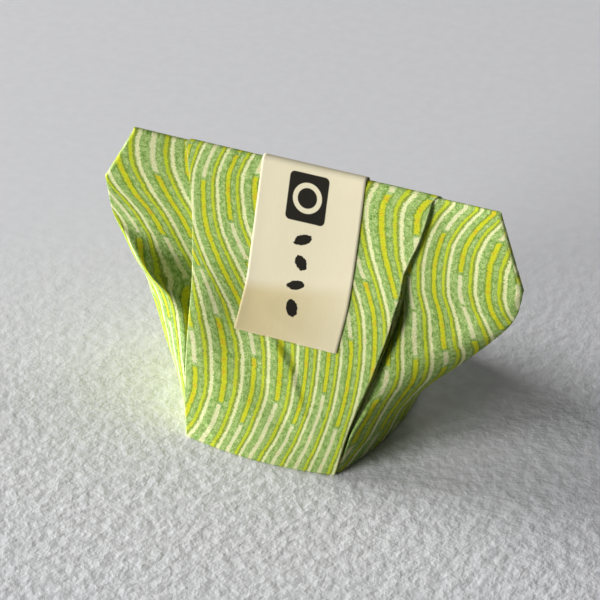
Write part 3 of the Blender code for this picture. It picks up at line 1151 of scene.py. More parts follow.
    def add_fold(self, add: Callable[..., None], edge: float, inward: float, radius: float,
                 height: float) -> None:
        """Add the rounded fold at one edge: down at the right edge, up at the left one.

        Args:
            add: adds a spot at an x and a height.
            edge: x of the fold's outermost line.
            inward: sign of the way back into the panel.
            radius: radius of the fold.
            height: height of the panel at its edge.
        """
        for column in range(1, self.fold_columns):
            angle = math.pi * column / self.fold_columns
            out = math.sin(angle)
            add(edge + inward * radius * (1 - out), height - radius * (1 + inward * math.cos(angle)), out)

    def rows(self) -> list[PleatRow]:
        """Lay out the strip's cross-sections.

        Returns:
            The cross-sections, from the front flap's end over the ridge to the back flap's end.
        """
        front, front_length = self.face_rows(True)
        back, back_length = self.face_rows(False)
        flap = [index / self.under_rows for index in range(1, self.under_rows + 1)]
        under_front = [self.under_row(share, True, front_length + self.under_length * share)
                       for share in reversed(flap)]
        under_back = [self.under_row(share, False, -back_length - self.under_length * share)
                      for share in flap]
        crest = [self.crest_row(math.pi * index / self.crest_rows) for index in range(self.crest_rows + 1)]
        return [*under_front, *reversed(front), *crest, *back, *under_back]

    def face_rows(self, front: bool) -> tuple[list[PleatRow], float]:
        """Lay out the cross-sections down one panel.

        Args:
            front: whether it is the front panel.

        Returns:
            The cross-sections, and the length of paper from the ridge to the last of them.
        """
        count = self.front_rows if front else self.back_rows
        top = FORM.ridge_height - self.crest_base - self.crest_height
        turns = [math.sin(math.pi / 2 * index / self.foot_rows) for index in range(self.foot_rows + 1)]
        heights = [blend(top, FORM.foot_radius, index / count) for index in range(1, count)]
        heights += [FORM.foot_radius * (1 - turn) for turn in turns]
        rows = []
        length = 0.0
        before = (FORM.ridge_height, FORM.depth(FORM.ridge_height, front))
        for z in heights:
            here = (z, FORM.depth(z, front) * (1 - FORM.foot_inset(z)))
            length += math.dist(here, before)
            before = here
            rows.append(self.face_row(z, front, length if front else -length - self.crest_length))
        return rows, length if front else length + self.crest_length

    def grid(self) -> PaperGrid:
        """Lay out the pleated strip.

        Returns:
            Its closed grid.
        """
        grid = PaperGrid("pleated_panels", [self.ring(row) for row in self.rows()], self.offset)
        grid.close()
        return grid


@dataclass(frozen=True)
class FoldedCorner(PrintedPiece):
    """The top corner of an ear, folded to the back.

    It starts as a roll round the ear's edge, which laps over to the front, and then lies
    flat on the ear's back.  The print on it is turned by the fold.
    """

    ear: Ear
    rows: int = 30
    roll_columns: int = 6
    flat_columns: int = 20
    proud: float = 0.3
    thickness: float = 0.14
    above_elbow: float = 0.15
    below_ridge: float = 0.7
    inset: float = 0.15
    least_width: float = 0.05
    lap: float = 0.6
    lap_round: float = 0.2
    print_reach: float = 2.0
    print_slope: float = 0.5
    wear: float = 0.5

    def back_of_ear(self, x: float, z: float) -> float:
        """Depth of the ear's back at a half width and a height."""
        share = share_between(x, FORM.corner_fold(self.ear, z), self.ear.back_edge.at(z))
        return blend(FORM.back_fold_depth.at(z), FORM.depth(z, False) - self.ear.back_step.at(z), share)

    def free_edge(self, z: float) -> float:
        """Find the corner's free edge.

        Args:
            z: height.

        Returns:
            Half width of the edge.
        """
        elbow_width, elbow_height = self.ear.elbow
        tip_width, tip_height = FORM.flap_tip(self.ear)
        if z <= tip_height:
            return blend(elbow_width, tip_width, (z - elbow_height) / (tip_height - elbow_height))
        return blend(tip_width, FORM.ridge_half_length, (z - tip_height) / (FORM.ridge_height - tip_height))

    def row(self, z: float) -> list[Spot]:
        """Lay out one row, from the front of the roll to the free edge.

        Args:
            z: height.

        Returns:
            The spots.
        """
        outer = FORM.corner_fold(self.ear, z)
        half = FORM.back_fold_depth.at(z)
        radius = (half + self.proud) / 2
        start = outer - self.inset
        spots = []
        for column in range(self.roll_columns):
            angle = math.pi * column / self.roll_columns
            y = radius * (1 - math.cos(angle)) - half * (self.lap + self.lap_round * math.cos(angle))
            spots.append(self.spot(start + radius * math.sin(angle), y, z, outer, self.wear))
        end = min(self.free_edge(z), start - self.least_width)
        for column in range(self.flat_columns + 1):
            x = blend(start, end, column / self.flat_columns)
            spots.append(self.spot(x, self.back_of_ear(x, z) + self.proud, z, x, 0.0))
        return spots

    def spot(self, x: float, y: float, z: float, across: float, fold: float) -> Spot:
        """Place one spot of the corner.

        Args:
            x: half width.
            y: depth.
            z: height.
            across: half width at which its print was taken.
            fold: how folded it is.

        Returns:
            The spot.
        """
        print_width = self.ear.corner + self.print_reach - self.print_slope * (FORM.ridge_height - z)
        count = self.ear.print_field.count_at(self.ear.side * print_width, across)
        return Spot(FORM.bowed(Vector((self.ear.side * x, y, z))), count, across, fold)

    def grid(self) -> PaperGrid:
        """Lay out the folded corner.

        Returns:
            Its open grid.
        """
        low, high = self.ear.elbow[1] + self.above_elbow, FORM.ridge_height - self.below_ridge
        rows = [self.row(blend(low, high, index / self.rows)) for index in range(self.rows + 1)]
        name = "folded_corner_left" if self.ear.side < 0 else "folded_corner_right"
        grid = PaperGrid(name, rows, self.offset)
        grid.stay_open(self.thickness)
        return grid


@dataclass(frozen=True)
class Label:
    """The paper strip that is folded over the middle of the ridge.

    Down the front it runs straight to a soft bend and straight on to its free end, never
    further off the panel than the most gap.  Near its free ends it lifts off a little.
    """

    offset: Vector
    centre: float = 0.4
    width: float = 25.8
    front: float = 39.7
    back: float = 27.0
    gap: float = 0.16
    thickness: float = 0.13
    end_lift: float = 0.25
    end_lift_length: float = 9.0
    most_gap_left: float = 0.9
    most_gap_right: float = 0.35
    bend_left: float = 28.0
    bend_right: float = 23.4
    bend_softness: float = 3.0
    columns: int = 44
    front_rows: int = 84
    back_rows: int = 40
    crest_rows: int = 12
    crest_depth: float = 0.9
    crest_flat: float = 0.9
    trace_step: float = 0.1
    trace_spare: float = 1.0
    rise: float = 0.8
    rise_depth: float = 8.0

    def path(self, x: float, front: bool) -> list[tuple[float, float, float]]:
        """Follow a panel down from the ridge.

        Args:
            x: place across the panel.
            front: whether it is the front panel.

        Returns:
            Distance from the ridge, depth and height at each step.
        """
        length = self.front if front else self.back
        z = FORM.ridge_height - self.crest_depth
        place = (0.0, FORM.smooth(x, z, front), z)
        path = [place]
        while place[0] < length + self.trace_spare:
            below = place[2] - self.trace_step
            depth = FORM.smooth(x, below, front)
            place = (place[0] + math.hypot(self.trace_step, depth - place[1]), depth, below)
            path.append(place)
        return path

    def on_path(self, path: list[tuple[float, float, float]], distance: float) -> Vector:
        """Point (depth, height) of a path at a distance, raised near the ridge by the pleats in it."""
        _, depth, z = min(path, key=lambda station: abs(station[0] - distance))
        return Vector((depth, z + self.rise * limit(1 - (FORM.ridge_height - z) / self.rise_depth)))

    def lift(self, to_end: float) -> float:
        """Gap under the label at a distance from its free end."""
        return self.gap + self.end_lift * limit(1 - to_end / self.end_lift_length) ** 2

    def front_column(self, x: float, share: float) -> list[Vector]:
        """Follow the label down the front.

        Args:
            x: place across the pack.
            share: share of the label's width from its left edge.

        Returns:
            Depth and height at each row, from the ridge to the free end.
        """
        path = self.path(x, True)
        bend = blend(self.bend_left, self.bend_right, share)
        most_gap = blend(self.most_gap_left, self.most_gap_right, share)
        top, middle, end = (self.on_path(path, distance) for distance in (0.0, bend, self.front))
        start = middle.lerp(top, self.bend_softness / bend)
        stop = middle.lerp(end, self.bend_softness / (self.front - bend))
        points = []
        for row in range(self.front_rows + 1):
            distance = self.front * row / self.front_rows
            past = distance - bend
            if abs(past) < self.bend_softness:
                point = soft_bend(start, middle, stop, (past / self.bend_softness + 1) / 2)
            elif past < 0:
                point = top.lerp(middle, distance / bend)
            else:
                point = middle.lerp(end, past / (self.front - bend))
            most = FORM.smooth(x, point.y, True) + most_gap
            points.append(Vector((min(point.x + self.lift(self.front - distance), most), point.y)))
        return points

    def back_column(self, x: float) -> list[Vector]:
        """Follow the label down the back.

        Args:
            x: place across the pack.

        Returns:
            Depth and height at each row, from the ridge to the free end.
        """
        path = self.path(x, False)
        distances = [self.back * row / self.back_rows for row in range(self.back_rows + 1)]
        return [self.on_path(path, distance) + Vector((self.lift(self.back - distance), 0.0))
                for distance in distances]

    def column(self, share: float) -> list[Spot]:
        """All spots down one column, from the front end over the ridge to the back end.

        Args:
            share: share of the label's width from its left edge.

        Returns:
            The spots; the print layer holds millimetres across and down the label.
        """
        across = self.width * (share - 0.5)
        x = self.centre + across
        front, back = self.front_column(x, share), self.back_column(x)
        spots = []
        for index, point in enumerate(reversed(front)):
            place = FORM.bowed(Vector((x, -point.x, point.y)), True)
            spots.append(Spot(place, across, self.front * (1 - index / self.front_rows)))
        radius = (front[0].x + back[0].x) / 2
        middle = Vector((x, (back[0].x - front[0].x) / 2, (front[0].y + back[0].y) / 2))
        for row in range(1, self.crest_rows):
            angle = math.pi * row / self.crest_rows
            place = middle + Vector((0, -math.cos(angle), self.crest_flat * math.sin(angle))) * radius
            spots.append(Spot(FORM.bowed(place), across, -radius * angle))
        for index, point in enumerate(back):
            place = FORM.bowed(Vector((x, point.x, point.y)))
            spots.append(Spot(place, across, -math.pi * radius - self.back * index / self.back_rows))
        return spots

    def build(self, material: bpy.types.Material) -> bpy.types.Object:
        """Build the label and stand it for the label's node.

        Args:
            material: the label paper.

        Returns:
            The finished piece.
        """
        columns = [self.column(index / self.columns) for index in range(self.columns + 1)]
        rows = [list(row) for row in zip(*columns)]
        grid = PaperGrid("label_strip", rows, self.offset)
        grid.stay_open(self.thickness)
        piece = grid.finish(material)
        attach(piece, BODY)
        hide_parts("label")
        return piece


Value = float | bpy.types.NodeSocket

FLOAT, COLOUR, VECTOR = "NodeSocketFloat", "NodeSocketColor", "NodeSocketVector"

# The mix node's two colour inputs, which share their names with its other pairs.
MIX_COLOURS = slice(6, 8)


class NodeBench:
    """Adds nodes to one tree and joins them."""

    def __init__(self, tree: bpy.types.NodeTree) -> None:
        """Start with a tree."""
        self.tree = tree

    def put(self, socket: bpy.types.NodeSocket, value: Value | Colour) -> None:
        """Join a socket to another node's output, or set it to a value.

        Args:
            socket: the input to fill.
            value: the other node's output, or the value.
        """
        if isinstance(value, bpy.types.NodeSocket):
            self.tree.links.new(value, socket)
        else:
            socket.default_value = value

    def add(self, kind: str, settings: dict[str, object] | None = None, **inputs: Value) -> bpy.types.Node:
        """Add a node.

        Args:
            kind: Blender's name of the node's type.
            settings: attributes to set on the node.
            inputs: values or sockets, by the input's name with underscores for spaces.

        Returns:
            The new node.
        """
        node = self.tree.nodes.new(kind)
        for name, value in (settings or {}).items():
            setattr(node, name, value)
        for name, value in inputs.items():
            self.put(node.inputs[name.replace("_", " ")], value)
        return node

    def math(self, operation: str, *values: Value) -> bpy.types.NodeSocket:
        """Work out a math operation.

        Args:
            operation: Blender's name of the operation.
            values: what it works on, in order.

        Returns:
            The result.
        """
        node = self.add("ShaderNodeMath", {"operation": operation})
        for socket, value in zip(node.inputs, values):
            self.put(socket, value)
        return node.outputs[0]

    def times(self, first: Value, second: Value) -> bpy.types.NodeSocket:
        """Product of two values."""
        return self.math("MULTIPLY", first, second)

    def plus(self, first: Value, second: Value) -> bpy.types.NodeSocket:
        """Sum of two values."""
        return self.math("ADD", first, second)

    def minus(self, first: Value, second: Value) -> bpy.types.NodeSocket:
        """First value less the second."""
        return self.math("SUBTRACT", first, second)

    def larger(self, first: Value, second: Value) -> bpy.types.NodeSocket:
        """The larger of two values."""
        return self.math("MAXIMUM", first, second)

    def squares(self, first: Value, second: Value) -> bpy.types.NodeSocket:
        """Sum of the squares of two values."""
        return self.plus(self.math("POWER", first, 2.0), self.math("POWER", second, 2.0))

    def apart(self, first: Value, second: Value) -> bpy.types.NodeSocket:
        """How far two values lie apart."""
        return self.math("ABSOLUTE", self.minus(first, second))

    def mix(self, factor: Value, first: Value | Colour, second: Value | Colour) -> bpy.types.NodeSocket:
        """Mix two colours.

        Args:
            factor: how much of the second colour there is.
            first: the first colour.
            second: the second colour.

        Returns:
            The mixed colour.
        """
        node = self.add("ShaderNodeMix", {"data_type": "RGBA"}, Factor=factor)
        for socket, colour in zip(node.inputs[MIX_COLOURS], (first, second)):
            self.put(socket, colour)
        return node.outputs[2]

    def step_ramp(self, factor: Value, colours: Sequence[Sequence[float]]) -> bpy.types.Node:
        """Add a ramp that holds each of its colours over an equal share of its length.

        Args:
            factor: place on the ramp, from 0 to 1.
            colours: the colours, in order.

        Returns:
            The ramp's node, with the outputs Color and Alpha.
        """
        node = self.add("ShaderNodeValToRGB")
        self.put(node.inputs[0], factor)
        node.color_ramp.interpolation = "CONSTANT"
        elements = node.color_ramp.elements
        while len(elements) < len(colours):
            elements.new(1.0)
        for index, colour in enumerate(colours):
            elements[index].position = index / len(colours)
            elements[index].color = colour
        return node

    def between(self, value: Value, low: float, high: float) -> bpy.types.NodeSocket:
        """Value mapped from low..high to 0..1 with soft ends."""
        settings = {"interpolation_type": "SMOOTHSTEP"}
        return self.add("ShaderNodeMapRange", settings, Value=value, From_Min=low, From_Max=high).outputs[0]

    def split(self, vector: Value) -> bpy.types.NodeOutputs:
        """The three parts of a vector or a colour."""
        return self.add("ShaderNodeSeparateXYZ", Vector=vector).outputs

    def group(self, tree: bpy.types.NodeTree, **inputs: Value) -> bpy.types.NodeOutputs:
        """Outputs of a node group, placed with its own inputs."""
        return self.add("ShaderNodeGroup", {"node_tree": tree}, **inputs).outputs


class GroupBench(NodeBench):
    """A new node group, and the bench for its nodes."""

    def __init__(self, name: str, inputs: dict[str, str], outputs: dict[str, str]) -> None:
        """Start a node group.

        Args:
            name: the group's name.
            inputs: socket types by name.
            outputs: socket types by name.
        """
        super().__init__(bpy.data.node_groups.new(name, "ShaderNodeTree"))
        for way, sockets in (("INPUT", inputs), ("OUTPUT", outputs)):
            for label, kind in sockets.items():
                self.tree.interface.new_socket(label, in_out=way, socket_type=kind)
        self.source = self.add("NodeGroupInput").outputs

    def output(self, **results: Value) -> bpy.types.NodeTree:
        """Put the results out, by the names of the outputs, and hand the finished group over."""
        self.add("NodeGroupOutput", **results)
        return self.tree


class MaterialBench(NodeBench):
    """A new material, and the bench for its nodes."""

    def __init__(self, name: str, roughness: float, specular: float) -> None:
        """Start a material.

        Args:
            name: the material's name.
            roughness: how matt it is.
            specular: how much of a plain sheen it has.
        """
        self.material = bpy.data.materials.new(name)
        self.material.use_nodes = True
        super().__init__(self.material.node_tree)
        self.shader = self.tree.nodes["Principled BSDF"].inputs
        self.shader["Roughness"].default_value = roughness
        self.shader["Specular IOR Level"].default_value = specular

    def print_layer(self) -> bpy.types.NodeSocket:
        """Place in the piece's own print layer."""
        return self.add("ShaderNodeUVMap", {"uv_map": PRINT_LAYER}).outputs[0]

    def object_place(self) -> bpy.types.NodeSocket:
        """Place on the object, in metres."""
        return self.add("ShaderNodeTexCoord").outputs["Object"]

    def dress(self, colour: Value, height: Value) -> bpy.types.Material:
        """Give the surface its colour and its small relief.

        Args:
            colour: the surface's colour.
            height: height of the relief, in millimetres.

        Returns:
            The finished material.
        """
        bump = self.add("ShaderNodeBump", Height=height, Strength=1.0, Distance=MM)
        self.put(self.shader["Base Color"], colour)
        self.put(self.shader["Normal"], bump.outputs[0])
        return self.material


@dataclass(frozen=True)
class Mottle:
    """A cloudy pattern, and the two values of it between which a mask goes from 0 to 1."""

    scale: float
    detail: float = 2.0
    roughness: float = 0.5
    low: float = 0.0
    high: float = 1.0

    def raw(self, bench: NodeBench, vector: Value) -> bpy.types.NodeSocket:
        """The plain pattern, from 0 to 1."""
        return bench.add("ShaderNodeTexNoise", Vector=vector, Scale=self.scale, Detail=self.detail,
                         Roughness=self.roughness).outputs[0]

    def swing(self, bench: NodeBench, vector: Value) -> bpy.types.NodeSocket:
        """The pattern as a swing to both sides of 0."""
        return bench.minus(self.raw(bench, vector), 0.5)

    def mask(self, bench: NodeBench, vector: Value) -> bpy.types.NodeSocket:
        """The pattern as a mask."""
        return bench.between(self.raw(bench, vector), self.low, self.high)


@dataclass(frozen=True)
class PaperFibre:
    """Long soft fibres and fine tooth of handmade paper, as a node group with a mask and a height."""

    fine_detail: float = 3.0
    fine_roughness: float = 0.62
    fine_distortion: float = 0.6
    fine_share: float = 0.6
    coarse_scale: float = 0.35
    coarse_share: float = 0.4
    mask_run: tuple[float, float] = (0.33, 0.67)

    @cached_property
    def tree(self) -> bpy.types.NodeTree:
        """Build the node group, once for all papers.

        Returns:
            The group, with the inputs Vector, Scale and Stretch.
        """
        bench = GroupBench("paper_fibre", {"Vector": VECTOR, "Scale": FLOAT, "Stretch": FLOAT},
                           {"Mask": FLOAT, "Height": FLOAT})
        x, y, z = bench.split(bench.source["Vector"])
        along = bench.times(y, bench.source["Stretch"])
        vector = bench.add("ShaderNodeCombineXYZ", X=x, Y=along, Z=z).outputs[0]
        fine = bench.add("ShaderNodeTexNoise", Vector=vector, Scale=bench.source["Scale"],
                         Detail=self.fine_detail, Roughness=self.fine_roughness,
                         Distortion=self.fine_distortion).outputs[0]
        coarse = bench.add("ShaderNodeTexNoise", Vector=vector,
                           Scale=bench.times(bench.source["Scale"], self.coarse_scale)).outputs[0]
        height = bench.plus(bench.times(fine, self.fine_share), bench.times(coarse, self.coarse_share))
        return bench.output(Mask=bench.between(height, *self.mask_run), Height=height)


FIBRE = PaperFibre()


@dataclass(frozen=True)
class DashRow:
    """Where the broad dashes of one stripe are cream, in millimetres from the ridge.

    They are cream from the ridge to top_end, from cream_start to cream_end, and
    from foot_start on; between those places they are yellow.
    """

    top_end: float
    cream_start: float
    cream_end: float
    foot_start: float


@dataclass(frozen=True)
class DashRule:
    """The dashes of every stripe, by its number from the first on."""

    first: int = -3
    rows: tuple[DashRow, ...] = tuple(DashRow(*ends) for ends in (
        # the panels
        (0.0, 36.0, 44.0, 62.0), (8.0, 43.5, 51.2, 66.0), (0.0, 29.0, 38.8, 58.0), (7.8, 37.5, 45.4, 61.3),
        (0.0, 16.4, 24.9, 54.2), (4.2, 27.0, 35.0, 58.6), (9.0, 24.0, 31.0, 49.8), (0.0, 29.5, 36.6, 57.3),
        (3.0, 16.8, 22.7, 50.0), (1.2, 25.5, 33.5, 60.0), (0.0, 9.5, 17.0, 48.0), (6.0, 26.0, 34.0, 58.0),
        (2.0, 18.0, 27.0, 54.0),
        # the right ear
        (8.0, 42.0, 48.0, 58.5), (5.0, 22.4, 39.8, 60.0), (10.6, 38.5, 44.0, 62.0), (0.0, 20.2, 36.2, 58.0),
        (10.5, 34.0, 42.0, 60.0), (0.0, 20.5, 28.5, 52.0), (7.0, 30.0, 38.0, 62.0),
        # the left ear
        (0.0, 18.0, 27.5, 40.0), (3.0, 26.0, 34.0, 45.0), (10.0, 24.6, 35.5, 57.0), (0.0, 10.2, 22.0, 50.0),
        (5.0, 20.0, 28.0, 55.0),
    ))
    gap: float = 0.40
    long_dash: float = 12.0
    far: float = 100.0


@dataclass(frozen=True)
class StripePrint:
    """Colours and widths of the printed stripes, as shares of one repeat.

    The green is streaked by the paper's fibre, and amber and beige come in patches.
    """

    green_dark: Colour = screen_colour(88, 127, 44)
    green_light: Colour = screen_colour(171, 191, 120)
    rim: Colour = screen_colour(105, 131, 25)
    cream: Colour = screen_colour(204, 207, 153)
    beige: Colour = screen_colour(197, 180, 134)
    dash_cream: Colour = screen_colour(197, 199, 151)
    yellow: Colour = screen_colour(181, 184, 30)
    amber: Colour = screen_colour(186, 164, 30)
    lime: Colour = screen_colour(170, 184, 36)
    olive: Colour = screen_colour(122, 132, 28)
    cream_start: float = 0.96
    cream_end: float = 0.075
    dash_start: float = 0.365
    dash_end: float = 0.52
    rim_width: float = 0.06
    lime_rim: float = 0.72
    lime_start: float = 0.765
    lime_end: float = 0.87
    olive_end: float = 0.935
    soft: float = 0.018
    lime_rim_strength: float = 0.45
    olive_strength: float = 0.8
    rim_strength: float = 0.75
    amber_in_lime: float = 0.4
    beige_in_cream: float = 0.35
    beige_in_dash: float = 0.5
    gap_soft: float = 0.3
    speckle: float = 0.34
    dash: DashRule = DashRule()

    def mask(self, bench: NodeBench, share: Value, start: float, end: float) -> bpy.types.NodeSocket:
        """Mask one band of the repeat.

        Args:
            bench: bench of the print's group.
            share: place in the repeat.
            start: where the band starts.
            end: where it ends.

        Returns:
            The mask, 1 within the band.
        """
        rise = bench.between(share, start - self.soft, start + self.soft)
        fall = bench.between(share, end + self.soft, end - self.soft)
        return bench.times(rise, fall)

    def tree(self) -> bpy.types.NodeTree:
        """Build the node group that prints the paper.

        Returns:
            The group, which gives the colour at a stripe count and a distance down.
        """
        names = ("Count", "Down", "Fibre", "Patch", "Speckle")
        bench = GroupBench("stripe_print", dict.fromkeys(names, FLOAT), {"Color": COLOUR})
        count, down, fibre, patch, speckle = (bench.source[name] for name in names)
        share = bench.math("FRACT", count)
        stripe = bench.math("FLOOR", count)
        colour = bench.mix(fibre, self.green_dark, self.green_light)
        lime_rim = self.mask(bench, share, self.lime_rim, self.lime_start)
        colour = bench.mix(bench.times(lime_rim, self.lime_rim_strength), colour, self.olive)
        lime = bench.mix(bench.times(patch, self.amber_in_lime), self.lime, self.amber)
        colour = bench.mix(self.mask(bench, share, self.lime_start, self.lime_end), colour, lime)
        olive = bench.times(self.mask(bench, share, self.lime_end, self.olive_end), self.olive_strength)
        colour = bench.mix(olive, colour, self.olive)
        cream_end = bench.between(share, self.cream_end + self.soft, self.cream_end - self.soft)
        cream_start = bench.between(share, self.cream_start - self.soft, self.cream_start + self.soft)
        cream = bench.mix(bench.times(patch, self.beige_in_cream), self.cream, self.beige)
        colour = bench.mix(bench.larger(cream_end, cream_start), colour, cream)
        dash, cream_part = self.dashes(bench, share, stripe, down)
        rims = bench.plus(self.mask(bench, share, self.dash_start - self.rim_width, self.dash_start),
                          self.mask(bench, share, self.dash_end, self.dash_end + self.rim_width))
        rims = bench.times(rims, bench.minus(self.rim_strength, cream_part))
        colour = bench.mix(rims, colour, self.rim)
        yellow = bench.mix(patch, self.yellow, self.amber)
        pale = bench.mix(bench.times(patch, self.beige_in_dash), self.dash_cream, self.beige)
        colour = bench.mix(dash, colour, bench.mix(cream_part, yellow, pale))
        shade = bench.math("MULTIPLY_ADD", speckle, self.speckle, 1 - self.speckle / 2)
        tinted = bench.add("ShaderNodeVectorMath", {"operation": "SCALE"}, Scale=shade)
        bench.put(tinted.inputs[0], colour)
        return bench.output(Color=tinted.outputs[0])

    def dashes(self, bench: NodeBench, share: Value, stripe: Value,
               down: Value) -> tuple[bpy.types.NodeSocket, bpy.types.NodeSocket]:
        """Mask the broad dashes.

        Args:
            bench: bench of the print's group.
            share: place in the repeat.
            stripe: number of the stripe.
            down: distance down the paper from the ridge.

        Returns:
            Mask of the dashes, and mask of their cream parts.
        """
        rule = self.dash
        ends = [[value / rule.far for value in (row.top_end, row.cream_start, row.cream_end, row.foot_start)]
                for row in rule.rows]
        row = bench.math("DIVIDE", bench.plus(stripe, 0.5 - rule.first), len(ends))
        ramp = bench.step_ramp(row, ends)
        top_end, cream_start, cream_end = bench.split(ramp.outputs["Color"])
        foot_start = ramp.outputs["Alpha"]
        far = bench.math("DIVIDE", bench.math("ABSOLUTE", down), rule.far)
        places = (top_end, cream_start, cream_end, foot_start)
        past = [bench.math("GREATER_THAN", far, place) for place in places]
        cream = bench.plus(bench.minus(1.0, past[0]), bench.minus(past[1], past[2]))
        cream = bench.plus(cream, past[3])
        is_long = bench.math("GREATER_THAN", bench.minus(cream_end, cream_start), rule.long_dash / rule.far)
        halfway = bench.times(bench.plus(cream_start, cream_end), 0.5)
        gap = self.gap_mask(bench, far, top_end)
        for place in places[1:]:
            gap = bench.larger(gap, self.gap_mask(bench, far, place))
        gap = bench.larger(gap, bench.times(self.gap_mask(bench, far, halfway), is_long))
        band = self.mask(bench, share, self.dash_start, self.dash_end)
        return bench.times(band, bench.minus(1.0, gap)), cream

    def gap_mask(self, bench: NodeBench, far: Value, place: Value) -> bpy.types.NodeSocket:
        """Mask of the gap between two dashes."""
        reach, soft = self.dash.gap / self.dash.far, self.gap_soft
        return bench.between(bench.apart(far, place), reach * (1 + soft), reach * (1 - soft))


@dataclass(frozen=True)
class WashiFinish:
    """The printed handmade paper of the wrapper.

    The print sways by the wobble and has ragged rims, in shares of a repeat, and is worn
    pale along the folds.  The depths of fibre and crinkle are in millimetres.
    """

    print_layout: StripePrint = StripePrint()
    roughness: float = 0.72
    specular: float = 0.12
    wobble: float = 0.035
    wobble_noise: Mottle = Mottle(0.55, 3.0, 0.6)
    rag: float = 0.05
    rag_noise: Mottle = Mottle(2.2, 1.0)
    patches: Mottle = Mottle(0.6, 3.0, 0.6, 0.50, 0.66)
    speckle: Mottle = Mottle(3.4, 2.0, 0.6, 0.3, 0.7)
    fold_pale: Colour = screen_colour(214, 218, 168)
    fold_strength: float = 0.55
    fold_wear: Mottle = Mottle(0.9, low=0.3, high=0.6)
    fibre_scale: float = 3.4
    fibre_stretch: float = 0.75
    fibre_depth: float = 0.05
    crinkle: Mottle = Mottle(330.0, 3.0, 0.55)
    crinkle_depth: float = 0.17

    def material(self) -> bpy.types.Material:
        """Mix the paper's material, which reads each piece's own print layer.

        Returns:
            The material.
        """
        bench = MaterialBench("wavy_striped_washi", self.roughness, self.specular)
        count, down, _ = bench.split(bench.print_layer())
        plane = bench.add("ShaderNodeCombineXYZ", X=bench.times(count, STRIPE_PITCH), Y=down).outputs[0]
        rag = self.rag_noise.swing(bench, plane)
        count = bench.math("MULTIPLY_ADD", self.wobble_noise.swing(bench, plane), self.wobble * 2, count)
        count = bench.math("MULTIPLY_ADD", rag, self.rag * 2, count)
        down = bench.math("MULTIPLY_ADD", rag, self.rag * STRIPE_PITCH * 2, down)
        fibre = bench.group(FIBRE.tree, Vector=plane, Scale=self.fibre_scale, Stretch=self.fibre_stretch)
        printed = bench.group(self.print_layout.tree(), Count=count, Down=down, Fibre=fibre["Mask"],
                              Patch=self.patches.mask(bench, plane), Speckle=self.speckle.mask(bench, plane))
        fold = bench.add("ShaderNodeAttribute", {"attribute_name": FOLD_LAYER}).outputs["Fac"]
        worn = bench.times(bench.times(fold, self.fold_wear.mask(bench, plane)), self.fold_strength)
        crinkle = bench.times(self.crinkle.raw(bench, bench.object_place()), self.crinkle_depth)
        height = bench.plus(bench.times(fibre["Height"], self.fibre_depth), crinkle)
        return bench.dress(bench.mix(worn, printed["Color"], self.fold_pale), height)


@dataclass(frozen=True)
class InkDab:
    """One dab of ink on the label: an oval patch, in millimetres from its middle line and the ridge.

    The slant is how far it rises for each millimetre to the right.
    """

    across: float
    down: float
    half_width: float
    half_height: float
    slant: float = 0.0


